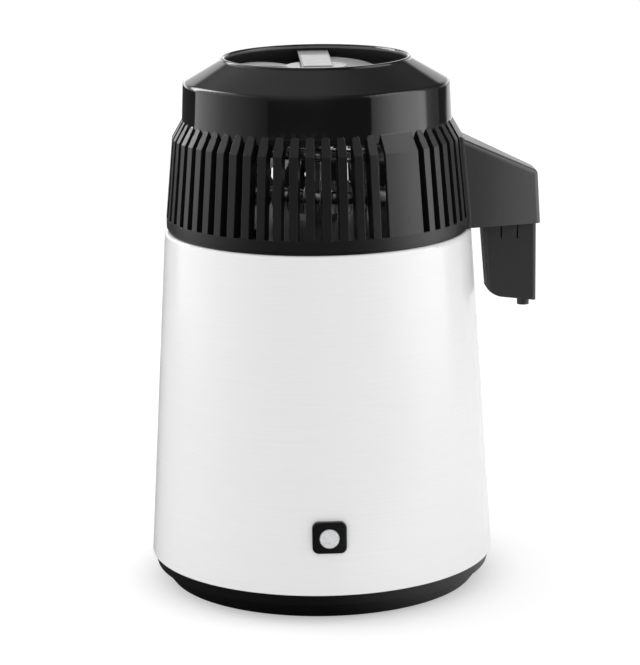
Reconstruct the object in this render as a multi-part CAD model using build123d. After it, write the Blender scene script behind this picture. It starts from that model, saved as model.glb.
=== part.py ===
from build123d import *
import os
from math import asin, ceil, cos, degrees, pi, radians, sin, sqrt, tan

# Countertop water distiller, made as the separate pieces that it comes apart into.
# Millimetres, +Z up. The origin is on the pot's axis, at the level that the distiller stands on.
# The front, with the reset button, faces -Y. An azimuth is counted from the front towards +X, in degrees.

# ---------------------------------------------------------------------------- clearances
RUN = 0.3            # between pieces that slide, lift or drop apart
FIT = 0.05           # round a shaft in its bore
BEND_FIT = 0.2       # round a bent tube, in a straight sleeve or clasp
CONTACT = 0.05       # under the gasket, between the head and the pot
LOCATE = 0.7         # between the pot's flange and the collar that drops over it

# ---------------------------------------------------------------------------- casing and pot
BODY_TOP_R = 101.5
BODY_TAPER = 13.5    # how much wider the casing's foot is, all round
BODY_H = 219.0
SHELL_T = 0.8
SHELL_CORNER_R = 2.4
POT_IN = 11.5        # pot's wall inside the casing's top edge
POT_T = 0.8
HEATER_ROOM = 39.8   # pot's floor above the casing's foot
POT_CORNER_R = 12.0

# ---------------------------------------------------------------------------- base moulding
FOOT_PROUD = 1.5     # how far the rubber ring foot stands out below the moulding
FOOT_T = 3.0
FOOT_W = 9.5
EDGE_IN = 12.2       # lower edge of the base, inside the casing's foot
FOOT_IN = 16.8       # rubber foot's inner edge, inside that edge
BAND_TOP_IN = 5.2    # top of its lower band
BAND_H = 9.3
GROOVE_H = 0.9
GROOVE_D = 1.4
FLANGE_LOW_IN = 3.0
FLANGE_TOP_IN = 1.0
FLANGE_H = 7.7
BASE_T = 2.5         # wall of the base moulding
FLOOR_T = 3.5
UPSTAND_H = 8.0      # ring that centres the casing on the base
UPSTAND_T = 2.0

# ---------------------------------------------------------------------------- heater and its fixings
STUD_R = 2.5
STUD_IN = 16.0       # studs inside the pot's wall
STUD_AZIMUTHS = (0.0, 120.0, 240.0)
STUD_SINK = 1.0      # studs' lower ends above the moulding's underside
STUD_BOSS_R = 8.0
STUD_BOSS_H = 7.0
NUT_H = 4.0
NUT_AF = 8.0
NUT_ROOM = 2.0       # room for a spanner round a nut
SHIELD_IN = 4.0      # heat shield inside the pot's wall
SHIELD_T = 0.5
SHIELD_H = 12.0
SHIELD_DROP = 22.4   # shield below the heater plate
SPACER_T = 1.8
PLATE_IN = 24.0      # heater plate inside the pot's wall
PLATE_T = 4.0
ELEMENT_IN = 16.0    # element's ring inside the plate's edge
ELEMENT_TUBE_R = 3.4
ELEMENT_GAP = 30.0   # degrees left open at the back, where the ends turn out
ELEMENT_BEND_R = 8.0
ELEMENT_REACH = 10.0 # element's ends beyond the plate's edge
TERMINAL_R = 1.2
TERMINAL_L = 8.0
CUTOUT_R = 8.0       # the boil-dry thermostat's can
CUTOUT_H = 9.0
CUTOUT_RIM_R = 11.0
CUTOUT_RIM_T = 1.0
CLAMP_L = 44.0       # strap that holds the thermostat up
CLAMP_W = 10.0
CLAMP_T = 1.0
CLAMP_STUD_R = 1.5
CLAMP_STUD_L = 4.0   # studs below the strap
CLAMP_STUD_PITCH = 34.0
CLAMP_NUT_AF = 5.5
CLAMP_NUT_H = 2.4

# ---------------------------------------------------------------------------- service hatch
HATCH_CLEAR = 2.5    # hatch plate from the studs' bosses
HATCH_LAP = 7.5      # plate over the floor
HATCH_PLATE_T = 1.2
HATCH_SCREW_IN = 3.7 # screws inside the plate's edge
HATCH_HEAD_H = 0.9
HATCH_VENTS = 8
HATCH_VENT_IN = 21.0 # vents' middles inside the opening's edge
HATCH_VENT_L = 28.0
HATCH_VENT_W = 3.5
HATCH_BOSS_H = 7.0
TIP_GAP = 1.0        # left beyond a screw's tip

# ---------------------------------------------------------------------------- reset button
RESET_Z = 57.9       # middle of the surround
BUTTON_DROP = 0.7    # the button's middle below that of the surround
BEZEL_W = 22.2
BEZEL_H = 21.0
BEZEL_CORNER_R = 4.2
BEZEL_PROUD = 2.2
BARREL_W = 18.0
BARREL_H = 18.0
BARREL_L = 8.5       # behind the casing's outer face
BARREL_CORNER_R = 2.0
BUTTON_R = 6.45
BUTTON_L = 5.6
BUTTON_SINK = 0.2    # button's face behind the surround's face
BUTTON_EDGE_R = 0.8
BUTTON_RIM = 1.1     # collar that keeps the button in its surround
BUTTON_RIM_T = 1.0
BUTTON_TRAVEL = 2.0
PLUNGER_R = 2.0
PLUNGER_L = 5.2
SPRING_R = 3.0       # middle of the wire
SPRING_WIRE_R = 0.3
SPRING_TURNS = 3.5
SWITCH_L = 9.0
SWITCH_W = 16.0
SWITCH_H = 14.0
TAB_W = 4.0
TAB_T = 0.8
TAB_L = 3.0
CLIP_T = 0.8
CLIP_W = 3.0
CLIP_CORNER_R = 2.5

# ---------------------------------------------------------------------------- rear sockets
PANEL_W = 60.0
PANEL_H = 80.0
PANEL_Z = 68.0
PANEL_PROUD = 5.0
PANEL_CORNER_R = 6.0
PANEL_T = 3.0
PANEL_EDGE_R = 1.2
PANEL_NECK = 3.0     # how much narrower the part inside the casing is, on each side
PANEL_NECK_L = 8.0
PANEL_IN_CORNER_R = 1.0
INLET_Z = 49.0
INLET_W = 27.0
INLET_H = 20.0
INLET_L = 23.0
INLET_FLANGE_W = 50.0
INLET_FLANGE_H = 24.0
INLET_FLANGE_T = 2.5
INLET_CORNER_R = 3.0
RECESS_W = 24.4
RECESS_H = 16.6
RECESS_D = 17.0
RECESS_CORNER_R = 2.5
INLET_PIN_W = 4.0
INLET_PIN_T = 2.0
INLET_PIN_L = 12.0
INLET_PIN_PITCH = 7.0
INLET_EARTH_RISE = 2.0
OUTLET_Z = 87.0
OUTLET_W = 24.0
OUTLET_H = 14.0
OUTLET_L = 20.0
CONTACT_HOLE_R = 2.4
CONTACT_BORE_R = 2.0
CONTACT_PITCH = 10.0
CONTACT_L = 12.0
CONTACT_SINK = 2.0
SOCKET_SCREW_PITCH = 40.0
WIRE_R = 1.3
WIRE_RUN = 6.0       # straight stretch from an inlet pin or an element's end
TAB_RUN = 4.0        # and from the switch's tabs
WIRE_IN = 7.0        # crossing of the shield's wall, inside it
WIRE_EDGE_X = 14.0   # wires' distances from the middle as they cross there
WIRE_BACK_X = 18.0
WIRE_SIDE_X = 24.5
PLATE_CLEAR = 4.0    # wires from the heater plate's edge
WIRE_SAG = 0.5

# ---------------------------------------------------------------------------- head: moulded cover
GASKET_T = 3.0
COLLAR_T = 2.8
LIP_H = 2.3          # recessed lip at the cover's lower edge
BAND_PROUD = 1.2     # plain band over that lip
BAND_LOW_H = 6.8
SLOT_H = 52.4        # slots, from the band up to the ribs' kink
KINK_IN = 6.2        # ribs' kink inside the casing's top edge
RIB_TOP_H = 11.8     # rib tops above the kink
WALL_IN = 12.9       # dome wall where the ribs run out on it
WALL_LOW_H = 5.8     # dome wall's lower edge above the kink
SHOULDER_IN = 14.0
SHOULDER_H = 24.8    # shoulder above the rib tops
SHOULDER_EDGE_R = 3.5
RIM_IN = 38.6
RIM_H = 15.5         # rim above the shoulder
BEAD_R = 1.6
COVER_T = 2.5
RIB_COUNT = 58       # positions round the cover
RIB_TURN = -0.7      # degrees from the spout to the middle of its plain stretch
RIB_W = 5.1
RIB_DEPTH = 7.0
RIB_DRAFT = 0.04     # growth of the half width per mm inwards
RIB_OVER = 2.0       # the draft starts this far outside the band
RIB_ROOT = 2.0       # ribs' roots below the slots
RIB_SKIN = 0.4       # roots behind the band's two faces
WIDE_RIB_AT = 9.5    # positions from that middle to the middle of each wide rib
WIDE_RIB_SPAN = 1    # positions joined on each side of its middle
REAR_RIB_AT = 14.5   # the rear plain stretch, that carries the fan's lead
REAR_RIB_SPAN = 2
SPOUT_RIB_SPAN = 2.5 # positions joined on each side of the spout's plain stretch
HEAD_SCREWS = 6
HEAD_SCREW_IN = 4.5  # screws inside the pot's wall
HEAD_BOSS_R = 3.6
HEAD_BOSS_H = 9.0
HEAD_WEB_T = 3.0     # web from each boss to the collar
HEAD_WEB_SINK = 1.0
HEAD_WEB_DROP = 0.5  # web's top below the slots
SCREW_R = 1.5
SCREW_HEAD_R = 2.8
SCREW_HEAD_H = 2.0
SEAT_RIM = 1.2       # seat's edge round a screw's head

# ---------------------------------------------------------------------------- spout, in its own frame along +X
SPOUT_AZ = 91.7      # azimuth of the spout
SPOUT_ROOT_IN = 7.5  # its root inside the casing's top edge
SPOUT_RUN_IN = 14.0  # its walls are drawn this far inside the root before the cover trims them
SPOUT_ROOT_HALF_W = 24.7
SPOUT_TAPER = 0.243  # half width lost per mm outwards
SPOUT_DRAFT = 0.03   # half width lost per mm upwards
SPOUT_REACH = 45.8   # its end beyond the casing's top edge
SPOUT_END_DRAFT = 0.05
SPOUT_TOP_ROOT_H = 59.3
SPOUT_TOP_SLOPE = 0.473
SPOUT_T = 2.2
SPOUT_EDGE_R = 3.8
SPOUT_RIM_W = 0.8    # raised line round the root
SPOUT_RIM_T = 1.6
SPOUT_BOSS_IN = 8.2  # screws inside the root's sides
SPOUT_BOSS_R = 3.7
SPOUT_BOSS_H = 30.0
SPOUT_BOSS_L = 12.0
SPOUT_BOSS_FLOOR = 1.5

# ---------------------------------------------------------------------------- filter cup
CUP_GAP = 7.4        # cup beyond the casing's top edge
CUP_L = 35.7
CUP_HALF_W = 11.4
CUP_LEAN = 3.4       # how far the side next to the body leans out towards the bottom
CUP_LOW_H = 44.3     # from the spout's underside down to the lower corner of that side
CUP_H = 52.1
CUP_BEND_X = 12.2    # from that side's top to where the bottom's curve ends
CUP_BEND_H = 49.2
CUP_CURVE_AT = 0.45  # share of the way along that curve at which it is deepest
CUP_CURVE_SAG = 0.9  # and how far it is then below a straight line
CUP_T = 2.4
CUP_EDGE_R = 3.0
CUP_NECK_H = 7.2
CUP_NECK_IN = 1.2
CUP_NECK_ROOT = 1.0
CUP_SLIT_W = 1.0
CUP_SLIT_H = 10.3
CUP_SLITS_AT = (12.1, 22.9)  # from the side next to the body
NUB_IN = 7.2         # outlet nub inside the cup's outer side
NUB_R = 4.0
NUB_BORE_R = 2.0
NUB_H = 4.6
COLLAR_GUIDE_H = 5.0
COLLAR_GUIDE_T = 1.4
STRAINER_T = 1.5
STRAINER_LIFT = 12.0
STRAINER_HOLE_R = 1.2
STRAINER_PITCH = 5.0
STRAINER_EDGE = 4.0  # plain edge outside its holes
LEDGE_W = 1.2
LEDGE_T = 1.5
LEDGE_START = 9.0    # ledges from the side next to the body
LEDGE_END = 4.0      # and from the outer side
BAG_H = 28.0
BAG_GAP = 0.6
BAG_EDGE_R = 4.0

# ---------------------------------------------------------------------------- condenser
COIL_IN = 19.0       # coil's middle line inside the pot's wall
COIL_PITCH = 27.0
COIL_DROP = 2.2      # highest turn at the front, below the ribs' kink
COIL_START_AZ = -150.0
COIL_END_AZ = 430.0
TUBE_R = 4.5
TUBE_T = 0.6
FIN_R = 11.0
FIN_T = 0.6
FIN_STEP = 9.0
FIN_CLEAR = 9.0      # kept free of fins on each side of a clip or a coupling
COIL_BRACKET_AZIMUTHS = (30.0, 150.0, 285.0)
CROSSING_CLEAR = 10.0 # degrees from the coil's ends
STRAP_W = 10.0
STRAP_T = 1.5
CLASP_T = 1.8
CLASP_L = 7.0
STRAP_FOOT_L = 12.0
RISER_OFFSET = 34.0
RISER_BENDS = (12.0, 20.0, 22.0)
COUPLING_T = 1.4
COUPLING_L = 14.0
COUPLING_ON_COIL = 4.0
OUTLET_BENDS = (20.0, 10.0)
OUTLET_IN = 17.1     # down-turned end from the cup's side next to the body
OUTLET_DIP = 3.0     # how far the tube's end reaches into the cup
GROMMET_T = 2.0
HEAD_PLATE_T = 0.8
PORT_R = 8.0
PORT_FLANGE_R = 13.0
PORT_FLANGE_T = 1.5
PORT_H = 13.0
PORT_STEP_H = 4.0
PORT_NUT_AF = 22.0
PORT_NUT_H = 4.5
BAFFLE_R = 22.0
BAFFLE_T = 0.8
BAFFLE_DROP = 12.0
BAFFLE_LEG_R = 1.2
BAFFLE_LEG_CIRCLE_R = 10.5

# ---------------------------------------------------------------------------- fan and its bar
BAR_W = 20.5
BAR_T = 3.0
BAR_DROP = 3.5       # bar's top below the rim
BAR_SPAN_IN = 2.4    # level part ends inside the rim
BAR_STEP = 3.0       # run of the joggle at each end
BAR_HEEL = 0.5
BAR_END_OUT = 13.1   # ends outside the rim
BAR_END_DROP = 12.3  # top of its screwed ends below the rim
BAR_END_T = 4.0
BAR_SCREW_OUT = 7.1
BAR_SCREW_BITE = 2.5
BAR_BOSS_SINK = 0.6  # bosses' tops below the cone's outer face
LABEL_W = 18.4
LABEL_L = 57.0
LABEL_T = 0.4
MOTOR_FLANGE_R = 20.0
MOTOR_FLANGE_T = 1.2
MOTOR_TUBE_R = 6.0
MOTOR_TUBE_L = 18.0
BEARING_R = 4.0
BEARING_L = 5.0
SHAFT_R = 2.0
CORE_R = 18.6
CORE_H = 9.0
CORE_RING_T = 2.2
POLE_W = 5.0
POLE_SHOE_T = 2.4
POLE_SHOE_ARC = 62.0
POLES = 4
WINDING_T = 3.2
AIR_GAP = 0.7
FLUX_RING_T = 1.6
HUB_T = 1.9
HUB_H = 21.0
HUB_FLOOR_T = 2.0
HUB_GAP = 0.5        # hub below the motor's flange
ROTOR_INSET = 1.0    # magnet ring inside the hub's two ends
BLADES = 5
FAN_IN = 8.0         # blades' tips inside the rim
BLADE_ARC = 58.0
BLADE_T = 1.3
BLADE_PITCH = 13.0
BLADE_GAP = 0.9      # blades' highest edge below the bar
CLIP_RING_R = 3.5
CLIP_RING_T = 0.5

# ---------------------------------------------------------------------------- fan lead gland
GLAND_R = 5.0
GLAND_BORE_R = 3.2
GLAND_FLANGE_R = 7.5
GLAND_FLANGE_T = 1.6
GLAND_TAIL = 4.0     # how far it stands out inside the cover
GLAND_H = 9.5        # above the slots' lower end

# ---------------------------------------------------------------------------- levels and radii that follow
body_foot_r = BODY_TOP_R + BODY_TAPER
pot_r = BODY_TOP_R - POT_IN
edge_r = body_foot_r - EDGE_IN
foot_in_r = edge_r - FOOT_IN
band_top_r = body_foot_r - BAND_TOP_IN
flange_low_r = body_foot_r - FLANGE_LOW_IN
flange_top_r = body_foot_r - FLANGE_TOP_IN
stud_circle_r = pot_r - STUD_IN
shield_r = pot_r - SHIELD_IN
plate_r = pot_r - PLATE_IN
element_r = plate_r - ELEMENT_IN
element_end_r = plate_r + ELEMENT_REACH
hatch_plate_r = stud_circle_r - STUD_BOSS_R - HATCH_CLEAR
hatch_r = hatch_plate_r - HATCH_LAP
hatch_screw_r = hatch_plate_r - HATCH_SCREW_IN
hatch_vent_mid_r = hatch_r - HATCH_VENT_IN
kink_r = BODY_TOP_R - KINK_IN
wall_r = BODY_TOP_R - WALL_IN
shoulder_r = BODY_TOP_R - SHOULDER_IN
rim_r = BODY_TOP_R - RIM_IN
head_screw_r = pot_r - HEAD_SCREW_IN
spout_root_x = BODY_TOP_R - SPOUT_ROOT_IN
spout_end_x = BODY_TOP_R + SPOUT_REACH
spout_boss_y = SPOUT_ROOT_HALF_W - SPOUT_BOSS_IN
cup_in_x = BODY_TOP_R + CUP_GAP
cup_out_x = cup_in_x + CUP_L
nub_x = cup_out_x - NUB_IN
coil_r = pot_r - COIL_IN
outlet_x = cup_in_x + OUTLET_IN
bar_span_r = rim_r - BAR_SPAN_IN
bar_end_r = rim_r + BAR_END_OUT
bar_screw_r = rim_r + BAR_SCREW_OUT
fan_r = rim_r - FAN_IN
base_low = FOOT_PROUD
base_band = base_low + BAND_H
base_groove = base_band + GROOVE_H
body_foot = base_groove + FLANGE_H
body_top = body_foot + BODY_H
floor_top = base_low + FLOOR_T
stud_boss_top = floor_top + STUD_BOSS_H
pot_seat = body_top
pot_rim = pot_seat + POT_T
pot_floor = body_foot + HEATER_ROOM
pot_under = pot_floor - POT_T
pot_out_r = pot_r + POT_T
plate_under = pot_under - PLATE_T
shield_z = plate_under - SHIELD_DROP
lip_r = BODY_TOP_R - SHELL_CORNER_R
collar_in_r = lip_r - COLLAR_T
pot_flange_r = collar_in_r - LOCATE
band_r = lip_r + BAND_PROUD
head_seat = pot_rim + GASKET_T
lip_low = body_top + RUN
band_low = lip_low + LIP_H
slot_low = band_low + BAND_LOW_H
kink_z = slot_low + SLOT_H
wall_low = kink_z + WALL_LOW_H
rib_top = kink_z + RIB_TOP_H
shoulder_z = rib_top + SHOULDER_H
rim_z = shoulder_z + RIM_H
open_r = rim_r - 2 * BEAD_R
cone_rise = RIM_H - BEAD_R
cone_run = shoulder_r - rim_r
cone_slope = cone_rise / cone_run
cone_drop = COVER_T * sqrt(1 + cone_slope ** 2)
wall_slope = (wall_r - shoulder_r) / SHOULDER_H
wall_low_r = wall_r + (rib_top - wall_low) * wall_slope
rib_step = 360 / RIB_COUNT
head_plate_top = head_seat + HEAD_PLATE_T
coil_front = kink_z - COIL_DROP
spout_low = body_top + 2 * RUN
cup_top = spout_low - RUN
bar_top = rim_z - BAR_DROP
bar_low = bar_top - BAR_T
bar_end_top = rim_z - BAR_END_DROP
bar_end_low = bar_end_top - BAR_END_T


def body_r(z):
    """Outer radius of the white casing at a level."""
    return body_foot_r + (BODY_TOP_R - body_foot_r) * (z - body_foot) / BODY_H


def cover_r(z):
    """Outer radius of the ribs and the band at a level."""
    if z <= slot_low:
        return band_r
    if z <= kink_z:
        return band_r + (kink_r - band_r) * (z - slot_low) / SLOT_H
    return kink_r + (wall_r - kink_r) * (z - kink_z) / RIB_TOP_H


def coil_z(azimuth):
    """Level of the coil's middle line at an azimuth, counted on along its turns."""
    return coil_front - COIL_PITCH * azimuth / 360


def at(radius, azimuth, z=0.0):
    """Point at a radius, an azimuth and a level."""
    return Vector(radius * sin(radians(azimuth)), -radius * cos(radians(azimuth)), z)


# ---------------------------------------------------------------------------- shape helpers
def disc(radius, low, high, x=0.0, y=0.0):
    return Pos(x, y, (low + high) / 2) * Cylinder(radius, high - low)


def ring(outer, inner, low, high, x=0.0, y=0.0):
    return disc(outer, low, high, x, y) - disc(inner, low, high, x, y)


def block(x0, x1, y0, y1, z0, z1):
    return Pos((x0 + x1) / 2, (y0 + y1) / 2, (z0 + z1) / 2) * Box(x1 - x0, y1 - y0, z1 - z0)


def revolved(*points):
    """Solid turned about Z from (radius, level) points."""
    outline = Polyline(*[(r, 0, z) for r, z in points], close=True)
    return revolve(make_face(outline), Axis.Z)


def rod_x(radius, x0, x1, y, z):
    """Round rod along X."""
    return Pos((x0 + x1) / 2, y, z) * Rot(0, 90, 0) * Cylinder(radius, x1 - x0)


def rod_y(radius, y0, y1, x, z):
    """Round rod along Y."""
    return Pos(x, (y0 + y1) / 2, z) * Rot(90, 0, 0) * Cylinder(radius, y1 - y0)


def rounded_block_y(width, height, corner, y0, y1, z):
    """Block along Y with rounded corners in its width and height."""
    outline = Plane.XZ * RectangleRounded(width, height, corner)
    return Pos(0, y1, z) * extrude(outline, y1 - y0)


def around(shape, azimuths):
    """Copies of a shape made at the front, turned to each azimuth."""
    return [Rot(0, 0, azimuth) * shape for azimuth in azimuths]


def evenly(count, first=0.0):
    return [first + 360 * i / count for i in range(count)]


def circles(shape, radius, z):
    """The shape's round edges about Z with this radius at this level."""
    near = 0.01
    found = []
    for edge in shape.edges().filter_by(GeomType.CIRCLE):
        if abs(edge.radius - radius) < near and abs(edge.arc_center.Z - z) < near:
            found.append(edge)
    return found


def screw(length, shank=SCREW_R, head=SCREW_HEAD_R, head_h=SCREW_HEAD_H):
    """Pan-head screw along +Z, with its seat at level 0."""
    return disc(shank, -head_h, length) + disc(head, -head_h, 0)


def nut(across_flats, height, bore):
    """Hexagonal nut standing on level 0."""
    hexagon = extrude(RegularPolygon(across_flats / 2, 6, major_radius=False), height)
    return hexagon - disc(bore, 0, height)


def tube_along(path, outer, inner):
    """Round tube, or a wire where inner is 0, swept along a path."""
    section = Circle(outer)
    if inner > 0:
        section = section - Circle(inner)
    return sweep(Plane(origin=path @ 0, z_dir=path % 0) * section, path=path, is_frenet=False)


def fused(shapes):
    first, *rest = shapes
    return first.fuse(*rest) if rest else first


def save(name, *shapes):
    """One STEP file for a piece, or for a group of like pieces."""
    solids = [solid for shape in shapes for solid in shape.solids()]
    export_step(solids[0] if len(solids) == 1 else Compound(solids), f"parts/{name}.step")


# ---------------------------------------------------------------------------- base moulding, foot and hatch
def base_moulding():
    upstand_r = body_r(body_foot + UPSTAND_H) - SHELL_T - RUN
    shelf = base_groove + BASE_T
    band_in = band_top_r - GROOVE_D - BASE_T
    shape = revolved(
        (hatch_r, base_low), (edge_r, base_low), (band_top_r, base_band),
        (band_top_r - GROOVE_D, base_band), (band_top_r - GROOVE_D, base_groove),
        (flange_low_r, base_groove), (flange_top_r, body_foot), (upstand_r, body_foot),
        (upstand_r, body_foot + UPSTAND_H), (upstand_r - UPSTAND_T, body_foot + UPSTAND_H),
        (upstand_r - UPSTAND_T, shelf), (band_in, shelf), (edge_r - BASE_T, floor_top),
        (hatch_r, floor_top),
    )
    foot_depth = FOOT_T - FOOT_PROUD
    shape -= ring(foot_in_r + FOOT_W, foot_in_r, base_low, base_low + foot_depth)
    shape -= disc(hatch_plate_r + RUN, base_low, base_low + HATCH_PLATE_T + RUN)
    for hole in around(disc(SCREW_R + RUN, base_low, floor_top, 0, -hatch_screw_r), evenly(4, 45)):
        shape -= hole
    for boss in around(hatch_boss(), evenly(4, 45)):
        shape += boss
    for boss in around(disc(STUD_BOSS_R, base_low, stud_boss_top, 0, -stud_circle_r), STUD_AZIMUTHS):
        shape += boss
    for sink in around(stud_sink(), STUD_AZIMUTHS):
        shape -= sink
    return shape


def hatch_boss():
    """Hollow boss in the floor that a hatch screw bites into."""
    return ring(2 * SCREW_R, SCREW_R, floor_top, floor_top + HATCH_BOSS_H, 0, -hatch_screw_r)


def stud_sink():
    """Hole for a pot stud, wider below for its nut."""
    nut_top = stud_boss_top - STUD_BOSS_H + NUT_H / 2
    hole = disc(STUD_R + RUN, base_low, stud_boss_top, 0, -stud_circle_r)
    return hole + disc(NUT_AF / 2 + NUT_ROOM, base_low, nut_top, 0, -stud_circle_r)


def bottom_plate():
    low = base_low
    plate = disc(hatch_plate_r, low, low + HATCH_PLATE_T)
    slot = SlotOverall(HATCH_VENT_L, HATCH_VENT_W, rotation=90)
    vent = Pos(0, -hatch_vent_mid_r, low) * extrude(slot, HATCH_PLATE_T)
    for cut in around(vent, evenly(HATCH_VENTS)):
        plate -= cut
    for hole in around(disc(SCREW_R + RUN, low, low + HATCH_PLATE_T, 0, -hatch_screw_r), evenly(4, 45)):
        plate -= hole
    return plate


def bottom_screws():
    """Countersunk-flat screws, their heads held above the surface that the foot stands on."""
    length = floor_top + HATCH_BOSS_H - base_low - TIP_GAP
    one = Pos(0, -hatch_screw_r, base_low) * screw(length, head_h=HATCH_HEAD_H)
    return around(one, evenly(4, 45))


def foot_ring():
    return ring(foot_in_r + FOOT_W - FIT, foot_in_r + FIT, 0, FOOT_T)


# ---------------------------------------------------------------------------- casing
def body_shell():
    inset = SHELL_T * sqrt(1 + ((body_foot_r - BODY_TOP_R) / BODY_H) ** 2)
    ledge_r = pot_out_r + RUN
    shell = revolved(
        (body_foot_r, body_foot), (BODY_TOP_R, body_top), (ledge_r, body_top),
        (ledge_r, body_top - SHELL_T), (BODY_TOP_R - inset, body_top - SHELL_T),
        (body_foot_r - inset, body_foot),
    )
    shell = fillet(circles(shell, BODY_TOP_R, body_top), SHELL_CORNER_R)
    shell = fillet(circles(shell, BODY_TOP_R - inset, body_top - SHELL_T), SHELL_CORNER_R - SHELL_T)
    outside = 2 * body_foot_r
    front = rounded_block_y(BARREL_W + RUN, BARREL_H + RUN, BARREL_CORNER_R, -outside, -pot_r, RESET_Z)
    neck_w = PANEL_W - 2 * PANEL_NECK
    neck_h = PANEL_H - 2 * PANEL_NECK
    rear = rounded_block_y(neck_w + RUN, neck_h + RUN, PANEL_CORNER_R - PANEL_NECK, pot_r, outside, PANEL_Z)
    return shell - front - rear


def casing_core(extra=0.0):
    """Everything inside the casing's outer face, or that face moved in by a negative extra."""
    return revolved(
        (0, body_foot), (body_foot_r + extra, body_foot), (BODY_TOP_R + extra, body_top), (0, body_top),
    )


# ---------------------------------------------------------------------------- pot and heater
def boiler_pot():
    pot = revolved(
        (0, pot_under), (pot_out_r, pot_under), (pot_out_r, pot_seat), (pot_flange_r, pot_seat),
        (pot_flange_r, pot_rim), (pot_r, pot_rim), (pot_r, pot_floor), (0, pot_floor),
    )
    pot = fillet(circles(pot, pot_out_r, pot_under), POT_CORNER_R + POT_T)
    return fillet(circles(pot, pot_r, pot_floor), POT_CORNER_R)


def pot_studs():
    low = base_low + STUD_SINK
    return around(disc(STUD_R, low, pot_under, 0, -stud_circle_r), STUD_AZIMUTHS)


def stud_nuts():
    nut_top = stud_boss_top - STUD_BOSS_H + NUT_H / 2
    one = Pos(0, -stud_circle_r, nut_top - NUT_H) * nut(NUT_AF, NUT_H, STUD_R)
    return around(one, STUD_AZIMUTHS)


def stud_spacers():
    outer = STUD_R + RUN + SPACER_T
    spans = ((stud_boss_top, shield_z), (shield_z + SHIELD_T, pot_under))
    tubes = []
    for low, high in spans:
        tubes += around(ring(outer, STUD_R + RUN, low, high, 0, -stud_circle_r), STUD_AZIMUTHS)
    return tubes


def heat_shield():
    shield = revolved(
        (0, shield_z), (shield_r, shield_z), (shield_r, shield_z + SHIELD_H),
        (shield_r - SHIELD_T, shield_z + SHIELD_H), (shield_r - SHIELD_T, shield_z + SHIELD_T),
        (0, shield_z + SHIELD_T),
    )
    shield -= disc(2 * CUTOUT_R, shield_z, shield_z + SHIELD_T)
    for hole in around(disc(STUD_R + RUN, shield_z, shield_z + SHIELD_T, 0, -stud_circle_r), STUD_AZIMUTHS):
        shield -= hole
    return shield


def heater_plate():
    return disc(plate_r, plate_under, pot_under)


element_z = plate_under - ELEMENT_TUBE_R


def polar(radius, angle):
    return Vector(radius * cos(radians(angle)), radius * sin(radians(angle)), 0)


def heating_element():
    """Tubular ring under the plate, open at the back, where its ends turn outwards."""
    arc_angle = 360 - ELEMENT_GAP
    reach = element_r + ELEMENT_BEND_R
    shift = degrees(asin(ELEMENT_BEND_R / reach))
    middle = polar(reach, shift)
    bend_start = Vector(middle.X, 0, 0)
    bend_mid = middle + polar(ELEMENT_BEND_R, 225 + shift / 2)
    ring_start = polar(element_r, shift)
    first = Line(polar(element_end_r, 0), bend_start) + ThreePointArc(bend_start, bend_mid, ring_start)
    round_arc = ThreePointArc(ring_start, polar(element_r, arc_angle / 2), polar(element_r, arc_angle - shift))
    last = mirror(first, Plane.XZ.rotated((0, 0, arc_angle / 2)))
    path = Wire((first + round_arc + last).edges())
    path = Pos(0, 0, element_z) * Rot(0, 0, 90 + ELEMENT_GAP / 2) * path
    return tube_along(path, ELEMENT_TUBE_R, 0)


def element_terminals():
    half_gap = ELEMENT_GAP / 2
    pin = rod_x(TERMINAL_R, element_end_r, element_end_r + TERMINAL_L, 0, element_z)
    return [Rot(0, 0, 90 + side * half_gap) * pin for side in (-1, 1)]


def boil_dry_thermostat():
    return disc(CUTOUT_RIM_R, plate_under - CUTOUT_RIM_T, plate_under) + disc(
        CUTOUT_R, plate_under - CUTOUT_H, plate_under
    )


def thermostat_bracket():
    """Strap with an eye under the thermostat's rim, held by two studs on the plate."""
    top = plate_under - CUTOUT_RIM_T
    strap = block(-CLAMP_L / 2, CLAMP_L / 2, -CLAMP_W / 2, CLAMP_W / 2, top - CLAMP_T, top)
    strap += disc(CUTOUT_RIM_R, top - CLAMP_T, top)
    strap -= disc(CUTOUT_R + FIT, top - CLAMP_T, top)
    for side in (-1, 1):
        strap -= disc(CLAMP_STUD_R + RUN, top - CLAMP_T, top, side * CLAMP_STUD_PITCH / 2)
    return strap


def bracket_nuts():
    """Studs on the plate with their nuts under the strap, each pair as one piece."""
    top = plate_under - CUTOUT_RIM_T - CLAMP_T
    pairs = []
    for side in (-1, 1):
        x = side * CLAMP_STUD_PITCH / 2
        stud = disc(CLAMP_STUD_R, top - CLAMP_STUD_L, plate_under, x)
        pairs.append(stud + Pos(x, 0, top - CLAMP_NUT_H) * nut(CLAMP_NUT_AF, CLAMP_NUT_H, CLAMP_STUD_R - FIT))
    return pairs


# ---------------------------------------------------------------------------- reset button, at the front
bezel_face = -(body_r(RESET_Z) + BEZEL_PROUD)
barrel_back = -(body_r(RESET_Z) - BARREL_L)
button_z = RESET_Z - BUTTON_DROP
button_face = bezel_face + BUTTON_SINK
button_back = button_face + BUTTON_L
rim_front = button_back - BUTTON_RIM_T


def reset_bezel():
    flange = rounded_block_y(BEZEL_W, BEZEL_H, BEZEL_CORNER_R, bezel_face, -pot_r, RESET_Z)
    flange = fillet(flange.faces().sort_by(Axis.Y)[0].edges(), BUTTON_EDGE_R)
    flange -= casing_core()
    skin = bezel_face + BEZEL_PROUD
    barrel = rounded_block_y(BARREL_W, BARREL_H, BARREL_CORNER_R, skin, barrel_back, RESET_Z)
    bezel = flange + barrel
    bezel -= rod_y(BUTTON_R + RUN, bezel_face, rim_front, 0, button_z)
    return bezel - rod_y(BUTTON_R + BUTTON_RIM + RUN, rim_front, barrel_back, 0, button_z)


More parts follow.
